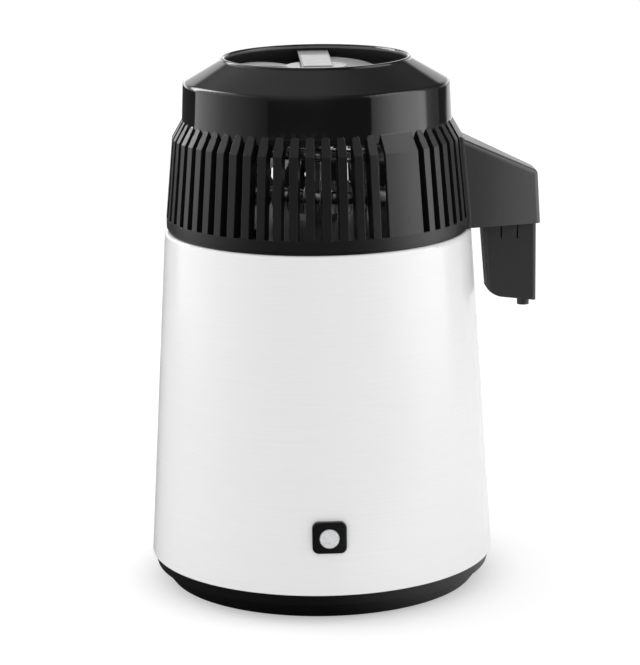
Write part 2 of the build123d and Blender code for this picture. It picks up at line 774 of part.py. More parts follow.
def reset_button():
    cap = rod_y(BUTTON_R, button_face, button_back, 0, button_z)
    cap = fillet(cap.edges().filter_by(GeomType.CIRCLE).sort_by(Axis.Y)[0], BUTTON_EDGE_R)
    rim = rod_y(BUTTON_R + BUTTON_RIM, rim_front + FIT, button_back, 0, button_z)
    return cap + rim + rod_y(PLUNGER_R, button_back, button_back + PLUNGER_L, 0, button_z)


def reset_spring():
    """Helical spring round the plunger, between the button and the switch."""
    length = barrel_back - button_back - 2 * SPRING_WIRE_R - 2 * FIT
    path = Helix(length / SPRING_TURNS, length, SPRING_R)
    coil = sweep(Plane(origin=path @ 0, z_dir=path % 0) * Circle(SPRING_WIRE_R), path=path, is_frenet=True)
    return Pos(0, button_back + SPRING_WIRE_R + FIT, button_z) * Rot(-90, 0, 0) * coil


def reset_switch():
    switch = block(
        -SWITCH_W / 2, SWITCH_W / 2, barrel_back, barrel_back + SWITCH_L,
        button_z - SWITCH_H / 2, button_z + SWITCH_H / 2,
    )
    depth = button_back + PLUNGER_L + BUTTON_TRAVEL + RUN
    return switch - rod_y(PLUNGER_R + RUN, barrel_back, depth, 0, button_z)


def switch_terminals():
    back = barrel_back + SWITCH_L
    tabs = []
    for side in (-1, 1):
        x = side * SWITCH_W / 4
        tabs.append(block(x - TAB_W / 2, x + TAB_W / 2, back, back + TAB_L, *span(button_z, TAB_T)))
    return tabs


def bezel_clip():
    """Spring frame that grips the barrel behind the casing."""
    half_w = BARREL_W / 2 + CLIP_W
    upper = RESET_Z + BARREL_H / 2 + CLIP_W
    front = -sqrt((body_r(upper) - SHELL_T) ** 2 - half_w ** 2) + FIT
    back = front + CLIP_T
    frame = rounded_block_y(2 * half_w, BARREL_H + 2 * CLIP_W, CLIP_CORNER_R, front, back, RESET_Z)
    width = BARREL_W + 2 * FIT
    height = BARREL_H + 2 * FIT
    return frame - rounded_block_y(width, height, BARREL_CORNER_R, front, back, RESET_Z)


# ---------------------------------------------------------------------------- rear socket panel
panel_low = PANEL_Z - PANEL_H / 2
panel_face = body_r(panel_low) + PANEL_PROUD
panel_back = panel_face - PANEL_PROUD - PANEL_NECK_L


def socket_panel():
    """Moulded surround that fits the sloping casing and gives the sockets an upright face."""
    outer = rounded_block_y(PANEL_W, PANEL_H, PANEL_CORNER_R, pot_r, panel_face, PANEL_Z)
    outer = fillet(outer.faces().sort_by(Axis.Y)[-1].edges(), PANEL_EDGE_R)
    outer -= casing_core()
    neck_w = PANEL_W - 2 * PANEL_NECK
    neck_h = PANEL_H - 2 * PANEL_NECK
    corner = PANEL_CORNER_R - PANEL_NECK
    neck = rounded_block_y(neck_w, neck_h, corner, panel_back, panel_face - PANEL_EDGE_R, PANEL_Z)
    hollow_w = neck_w - 2 * PANEL_T
    hollow_h = neck_h - 2 * PANEL_T
    hollow = rounded_block_y(hollow_w, hollow_h, PANEL_IN_CORNER_R, 0, panel_face - PANEL_T, PANEL_Z)
    panel = outer + neck - hollow
    for z, width, height in ((INLET_Z, INLET_W, INLET_H), (OUTLET_Z, OUTLET_W, OUTLET_H)):
        panel -= block(*span(0, width + 2 * FIT), 0, panel_face, *span(z, height + 2 * FIT))
    for z in (INLET_Z, OUTLET_Z):
        for side in (-1, 1):
            panel -= rod_y(SCREW_R, panel_face - PANEL_T, panel_face, side * SOCKET_SCREW_PITCH / 2, z)
    return panel


def span(middle, size):
    return middle - size / 2, middle + size / 2


def socket_body(z, width, height, length):
    """Socket that passes the panel, with a screwed flange outside."""
    flange_front = panel_face + INLET_FLANGE_T
    body = block(-width / 2, width / 2, flange_front - length, flange_front, *span(z, height))
    body += rounded_block_y(INLET_FLANGE_W, INLET_FLANGE_H, INLET_CORNER_R, panel_face, flange_front, z)
    for side in (-1, 1):
        body -= rod_y(SCREW_R + RUN, panel_face, flange_front, side * SOCKET_SCREW_PITCH / 2, z)
    return body


def mains_inlet():
    face = panel_face + INLET_FLANGE_T
    body = socket_body(INLET_Z, INLET_W, INLET_H, INLET_L)
    body -= rounded_block_y(RECESS_W, RECESS_H, RECESS_CORNER_R, face - RECESS_D, face, INLET_Z)
    for pin in mains_pins():
        body -= pin
    return body


def mains_pins():
    """Three flat pins: two in a row and the earth pin set off between them."""
    root = panel_face + INLET_FLANGE_T - RECESS_D
    pins = []
    for x, z in ((-INLET_PIN_PITCH, 0), (INLET_PIN_PITCH, 0), (0, INLET_EARTH_RISE)):
        low, high = span(INLET_Z + z, INLET_PIN_W)
        back = root - (INLET_L - RECESS_D) - TAB_L
        pins.append(block(x - INLET_PIN_T / 2, x + INLET_PIN_T / 2, back, root + INLET_PIN_L, low, high))
    return pins


def fan_outlet():
    face = panel_face + INLET_FLANGE_T
    body = socket_body(OUTLET_Z, OUTLET_W, OUTLET_H, OUTLET_L)
    for side in (-1, 1):
        body -= rod_y(CONTACT_HOLE_R, face - CONTACT_SINK - CONTACT_L, face, side * CONTACT_PITCH / 2, OUTLET_Z)
    return body


def outlet_contacts():
    front = panel_face + INLET_FLANGE_T - CONTACT_SINK
    tubes = []
    for side in (-1, 1):
        x = side * CONTACT_PITCH / 2
        tube = rod_y(CONTACT_HOLE_R, front - CONTACT_L, front, x, OUTLET_Z)
        tubes.append(tube - rod_y(CONTACT_BORE_R, front - CONTACT_L, front, x, OUTLET_Z))
    return tubes


def socket_screws():
    face = panel_face + INLET_FLANGE_T
    one = Rot(90, 0, 0) * screw(INLET_FLANGE_T + PANEL_T)
    return [
        Pos(side * SOCKET_SCREW_PITCH / 2, face, z) * one for z in (INLET_Z, OUTLET_Z) for side in (-1, 1)
    ]


def base_wiring():
    """Four insulated wires that join the inlet, the element, the thermostat and the reset switch."""
    pin_back = panel_face + INLET_FLANGE_T - INLET_L - TAB_L
    low = shield_z + SHIELD_T + 3 * WIRE_R
    over = shield_z + SHIELD_H + 3 * WIRE_R
    cross = low + 4 * WIRE_R
    tip_r = element_end_r + TERMINAL_L
    turn_r = tip_r + WIRE_RUN
    tip_az = ELEMENT_GAP / 2
    can_low = plate_under - CUTOUT_H
    pole = CUTOUT_R / 2
    can_side = 3 * CUTOUT_R
    tab_y = barrel_back + SWITCH_L + TAB_L
    tab_x = SWITCH_W / 4
    edge_y = shield_r - WIRE_IN
    inner_y = plate_r - PLATE_CLEAR
    side_y = can_side + PLATE_CLEAR
    routes = (
        [Vector(-INLET_PIN_PITCH, pin_back, INLET_Z), Vector(-INLET_PIN_PITCH, pin_back - WIRE_RUN, INLET_Z),
         at(turn_r, 180 + tip_az, element_z), at(tip_r, 180 + tip_az, element_z)],
        [at(tip_r, 180 - tip_az, element_z), at(turn_r, 180 - tip_az, element_z),
         at(turn_r, 180 - 2 * tip_az, element_z),
         at(plate_r + PLATE_CLEAR, 180 - 2 * tip_az, low + 2 * WIRE_SAG),
         Vector(pole, can_side, low), Vector(pole, 0, low - WIRE_SAG), Vector(pole, 0, can_low)],
        [Vector(-pole, 0, can_low), Vector(-pole, 0, low), Vector(-pole, -side_y, low + WIRE_SAG),
         Vector(-WIRE_BACK_X, -inner_y, low), Vector(-WIRE_EDGE_X, -edge_y, over),
         Vector(-tab_x, tab_y + TAB_RUN, button_z), Vector(-tab_x, tab_y, button_z)],
        [Vector(tab_x, tab_y, button_z), Vector(tab_x, tab_y + TAB_RUN, button_z),
         Vector(WIRE_EDGE_X, -edge_y, over), Vector(WIRE_SIDE_X - WIRE_SAG, -element_r, cross),
         Vector(WIRE_SIDE_X + WIRE_SAG, side_y, cross), Vector(INLET_PIN_PITCH - 2 * WIRE_SAG, inner_y, over),
         Vector(INLET_PIN_PITCH, pin_back - WIRE_RUN, INLET_Z), Vector(INLET_PIN_PITCH, pin_back, INLET_Z)],
    )
    return [tube_along(FilletPolyline(*route, radius=corner_radii(route)), WIRE_R, 0) for route in routes]


def corner_radii(points):
    """Even bends for the corners of a route, each taking up less than half of its shorter run."""
    share = 0.45
    radii = []
    for before, corner, after in zip(points, points[1:], points[2:]):
        run_in = corner - before
        run_out = after - corner
        half_turn = radians(run_in.get_angle(run_out)) / 2
        radii.append(share * min(run_in.length, run_out.length) / tan(half_turn))
    return radii


# ---------------------------------------------------------------------------- head cover
def dome():
    """Cone, shoulder and upright wall in one skin, with a rolled bead round the intake."""
    bead_z = rim_z - BEAD_R
    in_low_r = wall_low_r - COVER_T
    in_shoulder_r = shoulder_r - COVER_T
    in_shoulder_z = bead_z - (in_shoulder_r - rim_r) * cone_slope - cone_drop
    in_rim_z = bead_z - (open_r - rim_r) * cone_slope - cone_drop
    skin = revolved(
        (wall_low_r, wall_low), (shoulder_r, shoulder_z), (rim_r, bead_z), (open_r, bead_z),
        (open_r, in_rim_z), (in_shoulder_r, in_shoulder_z), (in_low_r, wall_low),
    )
    skin = fillet(circles(skin, shoulder_r, shoulder_z), SHOULDER_EDGE_R)
    bead = Pos(0, 0, bead_z) * Torus(rim_r - BEAD_R, BEAD_R)
    return skin + bead


def rib_ring(depth):
    """The ribs' whole ring before it is cut into ribs, rooted in the band and in the dome wall."""
    root_z = slot_low - RIB_ROOT
    wall_mid = wall_r - COVER_T / 2
    slot_in = band_r - depth
    kink_in = max(kink_r - depth, wall_mid)
    return revolved(
        (band_r, slot_low), (kink_r, kink_z), (wall_r, rib_top), (wall_mid, rib_top),
        (wall_mid, wall_low), (kink_in, kink_z), (slot_in, slot_low),
        (collar_in_r + RIB_SKIN, root_z), (band_r - RIB_SKIN, root_z),
    )


def rib():
    """One drafted rib with a rounded top, pointing along +X."""
    half = RIB_W / 2
    inner = kink_r - 2 * RIB_DEPTH
    outer = band_r + RIB_OVER
    grown = half + RIB_DRAFT * (outer - inner)
    low = slot_low - 2 * RIB_ROOT
    wedge = make_face(Polyline((inner, -grown), (outer, -half), (outer, half), (inner, grown), close=True))
    fin = Pos(0, 0, low) * extrude(wedge, rib_top - low)
    tip_z = rib_top - half
    finger = block(inner, outer, -grown, grown, low, tip_z - half)
    finger += block(inner, outer, -half, half, low, tip_z)
    finger += rod_x(half, inner, outer, 0, tip_z)
    return fin & finger & rib_ring(RIB_DEPTH)


def rib_panel(span_each_side):
    """Plain stretch that joins several rib positions, pointing along +X."""
    half_angle = span_each_side * rib_step + degrees(RIB_W / 2 / band_r)
    far = 2 * band_r
    reach = far * tan(radians(half_angle))
    wedge = make_face(Polyline((0, 0), (far, -reach), (far, reach), close=True))
    low = slot_low - 2 * RIB_ROOT
    return (Pos(0, 0, low) * extrude(wedge, rib_top - low)) & rib_ring(COVER_T)


def rib_place(place):
    """Turn from the spout's own frame to a rib position, counted from the plain stretch's middle."""
    return Rot(0, 0, RIB_TURN + place * rib_step)


def open_rib_places():
    """Rib positions that stand free between two slots."""
    places = []
    for turn in range(RIB_COUNT):
        place = turn + 0.5
        near = min(place, RIB_COUNT - place)
        if abs(place - REAR_RIB_AT) <= REAR_RIB_SPAN:
            continue
        if near > SPOUT_RIB_SPAN and abs(near - WIDE_RIB_AT) > WIDE_RIB_SPAN:
            places.append(place)
    return places


def head_cover():
    collar = revolved(
        (collar_in_r, lip_low), (lip_r, lip_low), (lip_r, band_low), (band_r, band_low),
        (band_r, slot_low), (collar_in_r, slot_low),
    )
    one = rib()
    pieces = [dome()]
    pieces += [rib_place(place) * one for place in open_rib_places()]
    pieces += [rib_place(side * WIDE_RIB_AT) * rib_panel(WIDE_RIB_SPAN) for side in (-1, 1)]
    pieces.append(rib_place(0) * rib_panel(SPOUT_RIB_SPAN))
    pieces.append(rib_place(REAR_RIB_AT) * rib_panel(REAR_RIB_SPAN))
    pieces += head_bosses() + spout_pads()
    cover = fused([collar] + pieces)
    cover = to_azimuth(cover) + bar_bosses()[0] + bar_bosses()[1]
    cover -= to_azimuth(rod_x(TUBE_R + GROMMET_T, rim_r, 2 * band_r, 0, outlet_z))
    for y in (-spout_boss_y, spout_boss_y):
        cover -= to_azimuth(rod_x(SCREW_R + RUN, rim_r, 2 * band_r, y, spout_screw_z))
    for y in (-bar_screw_r, bar_screw_r):
        cover -= disc(SCREW_R, bar_end_top, bar_end_top + BAR_SCREW_BITE + TIP_GAP / 2, 0, y)
    return cover - gland_hole(GLAND_R)


def to_azimuth(shape):
    """From the spout's own frame, where it points along +X, to its place on the head."""
    return Rot(0, 0, SPOUT_AZ - 90) * shape


def head_screw_azimuths():
    return evenly(HEAD_SCREWS, 360 / HEAD_SCREWS / 2)


def head_bosses():
    """Bosses inside the collar that the base plate is screwed to, in the spout's frame."""
    low = head_plate_top
    high = low + HEAD_BOSS_H
    boss = disc(HEAD_BOSS_R, low, high, 0, -head_screw_r)
    web_top = slot_low - HEAD_WEB_DROP
    boss += block(*span(0, HEAD_WEB_T), -collar_in_r - HEAD_WEB_SINK, -head_screw_r, low, web_top)
    boss -= disc(SCREW_R, low, high - TIP_GAP, 0, -head_screw_r)
    return around(boss, head_screw_azimuths())


def spout_pads():
    """Flat seats for the heads of the spout's screws, on the inside of the plain stretch."""
    radius = SCREW_HEAD_R + SEAT_RIM
    skin = cover_envelope(-COVER_T / 2)
    pads = [rod_x(radius, spout_screw_seat, band_r, y, spout_screw_z) for y in (-spout_boss_y, spout_boss_y)]
    return [pad & skin for pad in pads]


def bar_bosses():
    radius = SCREW_HEAD_R + SEAT_RIM
    top = rim_z - BEAD_R - (bar_screw_r + radius - rim_r) * cone_slope - BAR_BOSS_SINK
    return [disc(radius, bar_end_top, top, 0, y) for y in (-bar_screw_r, bar_screw_r)]


def gland_hole(radius):
    """Hole through the rear plain stretch for the fan's lead."""
    reach = rod_x(radius, kink_r - 2 * RIB_DEPTH, band_r + RIB_DEPTH, 0, slot_low + GLAND_H)
    return to_azimuth(rib_place(REAR_RIB_AT) * reach)


def fan_lead_gland():
    z = slot_low + GLAND_H
    seat = cover_r(z - GLAND_FLANGE_R)
    front = seat + GLAND_FLANGE_T
    back = seat - COVER_T - GLAND_TAIL
    sleeve = rod_x(GLAND_R - FIT, back, front, 0, z)
    sleeve += rod_x(GLAND_FLANGE_R, seat, front, 0, z)
    sleeve -= rod_x(GLAND_BORE_R, back, front, 0, z)
    return to_azimuth(rib_place(REAR_RIB_AT) * sleeve)


# ---------------------------------------------------------------------------- spout housing
spout_screw_z = spout_low + SPOUT_BOSS_H
spout_pad_y = spout_boss_y + SCREW_HEAD_R + SEAT_RIM
spout_screw_seat = sqrt((cover_r(spout_screw_z + SCREW_HEAD_R) - COVER_T) ** 2 - spout_pad_y ** 2)
outlet_turn = SPOUT_AZ + 360 - COIL_END_AZ
outlet_run = coil_r * tan(radians(outlet_turn))
coil_dip = COIL_PITCH / (2 * pi * coil_r)
outlet_z = coil_z(COIL_END_AZ) - outlet_run * coil_dip


def spout_block(inset, low):
    """Tapered box of the spout, each of its faces moved in by the inset, from a level up."""
    top_root = spout_low + SPOUT_TOP_ROOT_H - inset * sqrt(1 + SPOUT_TOP_SLOPE ** 2)
    start = spout_root_x - SPOUT_RUN_IN
    end_low = spout_end_x - inset - (low - spout_low) * SPOUT_END_DRAFT
    slope = SPOUT_TOP_SLOPE
    top_start = top_root + (spout_root_x - start) * slope
    # where the sloping top meets the drafted end
    end_slope = 1 / SPOUT_END_DRAFT
    end_top = (top_root + spout_root_x * slope - low - end_low * end_slope) / (slope - end_slope)
    z_top = top_root - (end_top - spout_root_x) * slope
    side = make_face(Plane.XZ * Polyline(
        (start, low), (end_low, low), (end_top, z_top), (start, top_start), close=True
    ))
    wide = 2 * SPOUT_ROOT_HALF_W
    box = Pos(0, wide, 0) * extrude(side, 2 * wide)
    for side_sign in (-1, 1):
        box = box.split(spout_side_plane(inset, side_sign), keep=Keep.BOTTOM)
    return box


def spout_side_plane(inset, side_sign):
    """Drafted side of the spout; its normal points outwards."""
    normal = Vector(SPOUT_TAPER, side_sign, SPOUT_DRAFT).normalized()
    on_face = Vector(spout_root_x, side_sign * SPOUT_ROOT_HALF_W, spout_low)
    return Plane(origin=on_face - normal * inset, z_dir=normal)


def cover_envelope(extra=0.0):
    """Everything inside the outer faces of the band and the ribs, or those faces moved out by extra."""
    return revolved(
        (0, lip_low), (band_r + extra, lip_low), (band_r + extra, slot_low),
        (kink_r + extra, kink_z), (wall_r + extra, rib_top), (wall_r + extra, rim_z), (0, rim_z),
    )


def cup_outline(inset, low, high):
    """Upright block with the cup's rounded plan at its top, moved in by the inset."""
    corner = CUP_EDGE_R - inset / 2
    plan = RectangleRounded(cup_out_x - cup_in_x - 2 * inset, 2 * CUP_HALF_W - 2 * inset, corner)
    return Pos((cup_in_x + cup_out_x) / 2, 0, low) * extrude(plan, high - low)


def spout_housing():
    outer = spout_block(0, spout_low)
    rounded = outer.edges().filter_by(lambda e: abs((e % 0.5).Z) > 0.5 and e.center().X > spout_root_x)
    top = outer.faces().sort_by(Axis.Z)[-1]
    far_end = [e for e in top.edges() if e.center().X > spout_root_x]
    outer = fillet(rounded + ShapeList(far_end), SPOUT_EDGE_R)
    rim = spout_block(-SPOUT_RIM_W, spout_low) & cover_envelope(SPOUT_RIM_T)
    floor_high = spout_low + SPOUT_T
    guide_high = floor_high + COLLAR_GUIDE_H
    housing = outer - spout_block(SPOUT_T, floor_high)
    housing += rim - spout_block(SPOUT_T, floor_high)
    guide_in = CUP_NECK_IN - RUN
    guide = cup_outline(guide_in - COLLAR_GUIDE_T, spout_low, guide_high)
    guide &= spout_block(SPOUT_T / 2, spout_low)
    housing += guide
    housing -= cup_outline(guide_in, spout_low - RUN, guide_high + RUN)
    for y in (-spout_boss_y, spout_boss_y):
        boss = rod_x(SPOUT_BOSS_R, spout_root_x - SPOUT_RUN_IN, spout_root_x + SPOUT_BOSS_L, y, spout_screw_z)
        housing += boss & spout_block(SPOUT_T / 2, spout_low)
        housing -= rod_x(SCREW_R, 0, spout_root_x + SPOUT_BOSS_L - SPOUT_BOSS_FLOOR, y, spout_screw_z)
    return to_azimuth(housing - cover_envelope())


def spout_screws():
    tip_x = spout_root_x + SPOUT_BOSS_L - SPOUT_BOSS_FLOOR - TIP_GAP
    one = Rot(0, 90, 0) * screw(tip_x - spout_screw_seat)
    return [to_azimuth(Pos(spout_screw_seat, y, spout_screw_z) * one) for y in (-spout_boss_y, spout_boss_y)]


# ---------------------------------------------------------------------------- filter cup
def cup_block(inset):
    """The cup's outer form below the spout, or its hollow where inset is the wall."""
    left = cup_in_x + inset
    right = cup_out_x - inset
    bottom = cup_top - CUP_H + inset
    corner_z = cup_top - CUP_LOW_H + inset
    low_left = Vector(left + (cup_top - corner_z) * CUP_LEAN / CUP_LOW_H, corner_z)
    bend = Vector(cup_in_x + CUP_BEND_X, cup_top - CUP_BEND_H + inset)
    deepest = low_left + (bend - low_left) * CUP_CURVE_AT - Vector(0, CUP_CURVE_SAG)
    outline = Polyline(bend, (right, bottom), (right, cup_top), (left, cup_top), low_left)
    side = make_face(Plane.XZ * (outline + ThreePointArc(low_left, deepest, bend)))
    half = CUP_HALF_W - inset
    form = Pos(0, half, 0) * extrude(side, 2 * half)
    upright = form.edges().filter_by(lambda e: abs((e % 0.5).Z) > 0.9 and e.length > CUP_LOW_H / 2)
    return fillet(upright, CUP_EDGE_R - inset / 2)


def filter_cup():
    mouth_low = cup_top - CUP_NECK_ROOT
    mouth_high = cup_top + CUP_NECK_H
    cup = cup_block(0) + cup_outline(CUP_NECK_IN, mouth_low, mouth_high)
    cup -= cup_block(CUP_T)
    cup -= cup_outline(CUP_T, mouth_low, mouth_high)
    for side in (-1, 1):
        across = sorted((side * (CUP_HALF_W - CUP_T / 2), side * ledge_y))
        cup += block(cup_in_x + LEDGE_START, cup_out_x - LEDGE_END, *across, strainer_z - LEDGE_T, strainer_z)
    for x in CUP_SLITS_AT:
        slit = span(cup_in_x + x, CUP_SLIT_W)
        cup -= block(*slit, -CUP_HALF_W, CUP_HALF_W, spout_low - CUP_SLIT_H, cup_top + 2 * CUP_NECK_H)
    nub_low = cup_top - CUP_H - NUB_H
    cup += disc(NUB_R, nub_low, cup_top - CUP_H + CUP_T, nub_x)
    cup -= disc(NUB_BORE_R, nub_low, cup_top - CUP_H + 3 * CUP_T, nub_x)
    return to_azimuth(cup)


strainer_z = cup_top - CUP_H + STRAINER_LIFT
ledge_y = CUP_HALF_W - CUP_T - LEDGE_W


def cup_strainer():
    """Perforated plate on the cup's two ledges."""
    level = strainer_z + STRAINER_T / 2
    left = cup_in_x + (cup_top - level) * CUP_LEAN / CUP_LOW_H + CUP_T + RUN
    right = cup_out_x - CUP_T - RUN
    half = CUP_HALF_W - CUP_T - RUN
    plan = Pos((left + right) / 2, 0, strainer_z) * extrude(
        RectangleRounded(right - left, 2 * half, CUP_EDGE_R - CUP_T / 2), STRAINER_T
    )
    columns = int((right - left - 2 * STRAINER_EDGE) / STRAINER_PITCH) + 1
    rows = int((2 * half - 2 * STRAINER_EDGE) / STRAINER_PITCH) + 1
    for i in range(columns):
        for j in range(rows):
            x = (left + right) / 2 + (i - (columns - 1) / 2) * STRAINER_PITCH
            y = (j - (rows - 1) / 2) * STRAINER_PITCH
            plan -= disc(STRAINER_HOLE_R, strainer_z, strainer_z + STRAINER_T, x, y)
    return to_azimuth(plan)


def carbon_bag():
    """Soft bag of carbon grains, as a plain pillow."""
    low = strainer_z + STRAINER_T + RUN
    left = cup_in_x + (cup_top - low) * CUP_LEAN / CUP_LOW_H + CUP_T + BAG_GAP
    right = cup_out_x - CUP_T - BAG_GAP
    half = CUP_HALF_W - CUP_T - BAG_GAP
    bag = block(left, right, -half, half, low, low + BAG_H)
    return to_azimuth(fillet(bag.edges(), BAG_EDGE_R))


# ---------------------------------------------------------------------------- condenser
def coil_path():
    """Left-handed helix from the coil's lower end up to its upper end."""
    turns = (COIL_END_AZ - COIL_START_AZ) / 360
    helix = Helix(COIL_PITCH, COIL_PITCH * turns, coil_r, lefthand=True)
    return Pos(0, 0, coil_z(COIL_END_AZ)) * Rot(0, 0, COIL_END_AZ - 90) * helix


def coil_frame(azimuth):
    """Plane across the coil's tube at an azimuth; its Z runs along the tube, down the turns."""
    run = Vector(cos(radians(azimuth)), sin(radians(azimuth)), -coil_dip).normalized()
    return Plane(origin=at(coil_r, azimuth, coil_z(azimuth)), z_dir=run)


def condenser_coil():
    path = coil_path()
    section = Plane(origin=path @ 0, z_dir=path % 0) * (Circle(TUBE_R) - Circle(TUBE_R - TUBE_T))
    return sweep(section, path=path, is_frenet=True)


def bracket_crossings(azimuth):
    """Azimuths, counted on along the turns, at which the coil passes a bracket."""
    first = COIL_START_AZ + CROSSING_CLEAR
    last = COIL_END_AZ - CROSSING_CLEAR
    return [azimuth + 360 * k for k in (-1, 0, 1) if first < azimuth + 360 * k < last]


def condenser_fins():
    """Round fins pressed on the tube, left out at the clasps and the couplings."""
    one = extrude(Circle(FIN_R) - Circle(TUBE_R + FIT), FIN_T)
    taken = [COIL_START_AZ, COIL_END_AZ]
    for azimuth in COIL_BRACKET_AZIMUTHS:
        taken += bracket_crossings(azimuth)
    step = degrees(FIN_STEP / coil_r)
    clear = degrees(FIN_CLEAR / coil_r)
    count = ceil((COIL_END_AZ - COIL_START_AZ) / step)
    fins = []
    for i in range(count):
        azimuth = COIL_START_AZ + i * step
        if all(abs(azimuth - other) > clear for other in taken):
            fins.append(coil_frame(azimuth).location * one)
    return fins


def coil_brackets():
    """Straps on the base plate, each with a clasp round every turn that passes it."""
    inner = sqrt((coil_r - TUBE_R) ** 2 - (STRAP_W / 2) ** 2) - FIT - STRAP_T
    brackets = []
    for azimuth in COIL_BRACKET_AZIMUTHS:
        crossings = bracket_crossings(azimuth)
        top = coil_z(min(crossings)) + TUBE_R
        outer = -inner - STRAP_T
        strap = block(*span(0, STRAP_W), outer, -inner, head_plate_top, top)
        foot_top = head_plate_top + STRAP_T
        strap += block(*span(0, STRAP_W), outer, outer + STRAP_FOOT_L, head_plate_top, foot_top)
        bracket = Rot(0, 0, azimuth) * strap
        for crossing in crossings:
            clasp = Circle(TUBE_R + BEND_FIT + CLASP_T) - Circle(TUBE_R + BEND_FIT)
            bracket += coil_frame(crossing).location * (Pos(0, 0, -CLASP_L / 2) * extrude(clasp, CLASP_L))
        brackets.append(bracket)
    return brackets


def steam_riser():
    """From the port up and out to the coil's upper end, bending the way that the coil winds."""
    start = coil_frame(COIL_START_AZ)
    run = start.z_dir
    flat = Vector(run.X, run.Y, 0).normalized()
    back = start.origin - run * RISER_OFFSET
    level = back.Z
    foot = Vector(0, 0, head_seat + PORT_STEP_H)
    over = Vector(0, 0, level)
    behind = over - flat * RISER_OFFSET
    path = FilletPolyline(foot, over, behind, back, start.origin, radius=list(RISER_BENDS))
    return tube_along(path, TUBE_R, TUBE_R - TUBE_T)


def outlet_tube():
    """From the coil's lower end out through the cover, then down into the cup's mouth."""
    end = coil_frame(COIL_END_AZ)
    corner = end.origin + Vector(cos(radians(COIL_END_AZ)), sin(radians(COIL_END_AZ)), -coil_dip) * outlet_run
    over = at(outlet_x, SPOUT_AZ, corner.Z)
    low = at(outlet_x, SPOUT_AZ, cup_top + CUP_NECK_H - OUTLET_DIP)
    path = FilletPolyline(end.origin, corner, over, low, radius=list(OUTLET_BENDS))
    return tube_along(path, TUBE_R, TUBE_R - TUBE_T)


def tube_couplings():
    """Sleeves over the two joints in the tube, mostly on its straight side."""
    sleeve = Circle(TUBE_R + BEND_FIT + COUPLING_T) - Circle(TUBE_R + BEND_FIT)
    one = extrude(sleeve, COUPLING_L)
    starts = ((COIL_START_AZ, COUPLING_ON_COIL - COUPLING_L), (COIL_END_AZ, -COUPLING_ON_COIL))
    return [coil_frame(azimuth).location * Pos(0, 0, shift) * one for azimuth, shift in starts]


def outlet_grommet():
    """Soft sleeve between the outlet tube and the cover, with a lip inside."""
    lip = TUBE_R + 2 * GROMMET_T
    face = cover_r(outlet_z)
    seat = sqrt((cover_r(outlet_z + lip) - COVER_T) ** 2 - lip ** 2)
    back = seat - GROMMET_T
    sleeve = rod_x(TUBE_R + GROMMET_T - FIT, back, face, 0, outlet_z)
    sleeve += rod_x(lip, back, seat, 0, outlet_z)
    return to_azimuth(sleeve - rod_x(TUBE_R + FIT, back, face, 0, outlet_z))


def head_base_plate():
    plate = disc(collar_in_r - LOCATE, head_seat, head_plate_top)
    plate -= disc(PORT_R + FIT, head_seat, head_plate_top)
    hole_one = disc(SCREW_R + RUN, head_seat, head_plate_top, 0, -head_screw_r)
    for hole in around(hole_one, head_screw_azimuths()):
        plate -= to_azimuth(hole)
    return plate


def head_screws():
    one = Pos(0, -head_screw_r, head_seat) * screw(HEAD_PLATE_T + HEAD_BOSS_H - 2 * TIP_GAP)
    return [to_azimuth(copy) for copy in around(one, head_screw_azimuths())]


def head_gasket():
    return ring(pot_flange_r, pot_r + RUN, pot_rim + CONTACT, head_seat)


def steam_port():
    flange_low = head_seat - PORT_FLANGE_T
    port = disc(PORT_FLANGE_R, flange_low, head_seat) + disc(PORT_R, flange_low, head_seat + PORT_H)
    port -= disc(TUBE_R - TUBE_T, flange_low, head_seat + PORT_H)
    return port - disc(TUBE_R + FIT, head_seat + PORT_STEP_H, head_seat + PORT_H)


def port_nut():
    return Pos(0, 0, head_plate_top) * nut(PORT_NUT_AF, PORT_NUT_H, PORT_R)


def splash_baffle():
    """Dish on three legs that keeps boiling splashes out of the port."""
    flange_low = head_seat - PORT_FLANGE_T
    low = flange_low - BAFFLE_DROP
    baffle = disc(BAFFLE_R, low, low + BAFFLE_T)
    for leg in around(disc(BAFFLE_LEG_R, low, flange_low, 0, -BAFFLE_LEG_CIRCLE_R), evenly(3)):
        baffle += leg
    return baffle


# ---------------------------------------------------------------------------- bar, motor and fan
def motor_bridge():
    """Bar across the intake, with joggled ends that are screwed up under the cone."""
    step_r = bar_span_r + BAR_STEP
    half = [
        (0, bar_top), (bar_span_r, bar_top), (step_r, bar_top - BAR_T), (step_r, bar_end_top),
        (bar_end_r, bar_end_top), (bar_end_r, bar_end_low), (bar_span_r - BAR_HEEL, bar_end_low),
        (bar_span_r - BAR_T - BAR_HEEL, bar_low),
    ]
    mirrored = [(-y, z) for y, z in reversed(half[1:])]
    outline = make_face(Polyline(*[(0, y, z) for y, z in half + mirrored], close=True))
    bar = extrude(outline, BAR_W / 2, both=True)
    for y in (-bar_screw_r, bar_screw_r):
        bar -= disc(SCREW_R + RUN, bar_end_low, bar_end_top, 0, y)
    return bar


def bridge_screws():
    one = screw(BAR_END_T + BAR_SCREW_BITE)
    return [Pos(0, y, bar_end_low) * one for y in (-bar_screw_r, bar_screw_r)]


def label_plate():
    return block(-LABEL_W / 2, LABEL_W / 2, -LABEL_L / 2, LABEL_L / 2, bar_top, bar_top + LABEL_T)


flange_low = bar_low - MOTOR_FLANGE_T
tube_low = flange_low - MOTOR_TUBE_L
hub_top = flange_low - HUB_GAP
hub_low = hub_top - HUB_H
hub_floor = hub_low + HUB_FLOOR_T
core_low = tube_low + BEARING_L
flux_in_r = CORE_R + AIR_GAP
hub_in_r = flux_in_r + FLUX_RING_T
hub_out_r = hub_in_r + HUB_T


def motor_base():
    base = disc(MOTOR_FLANGE_R, flange_low, bar_low) + disc(MOTOR_TUBE_R, tube_low, bar_low)
    return base - disc(BEARING_R, tube_low, bar_low)


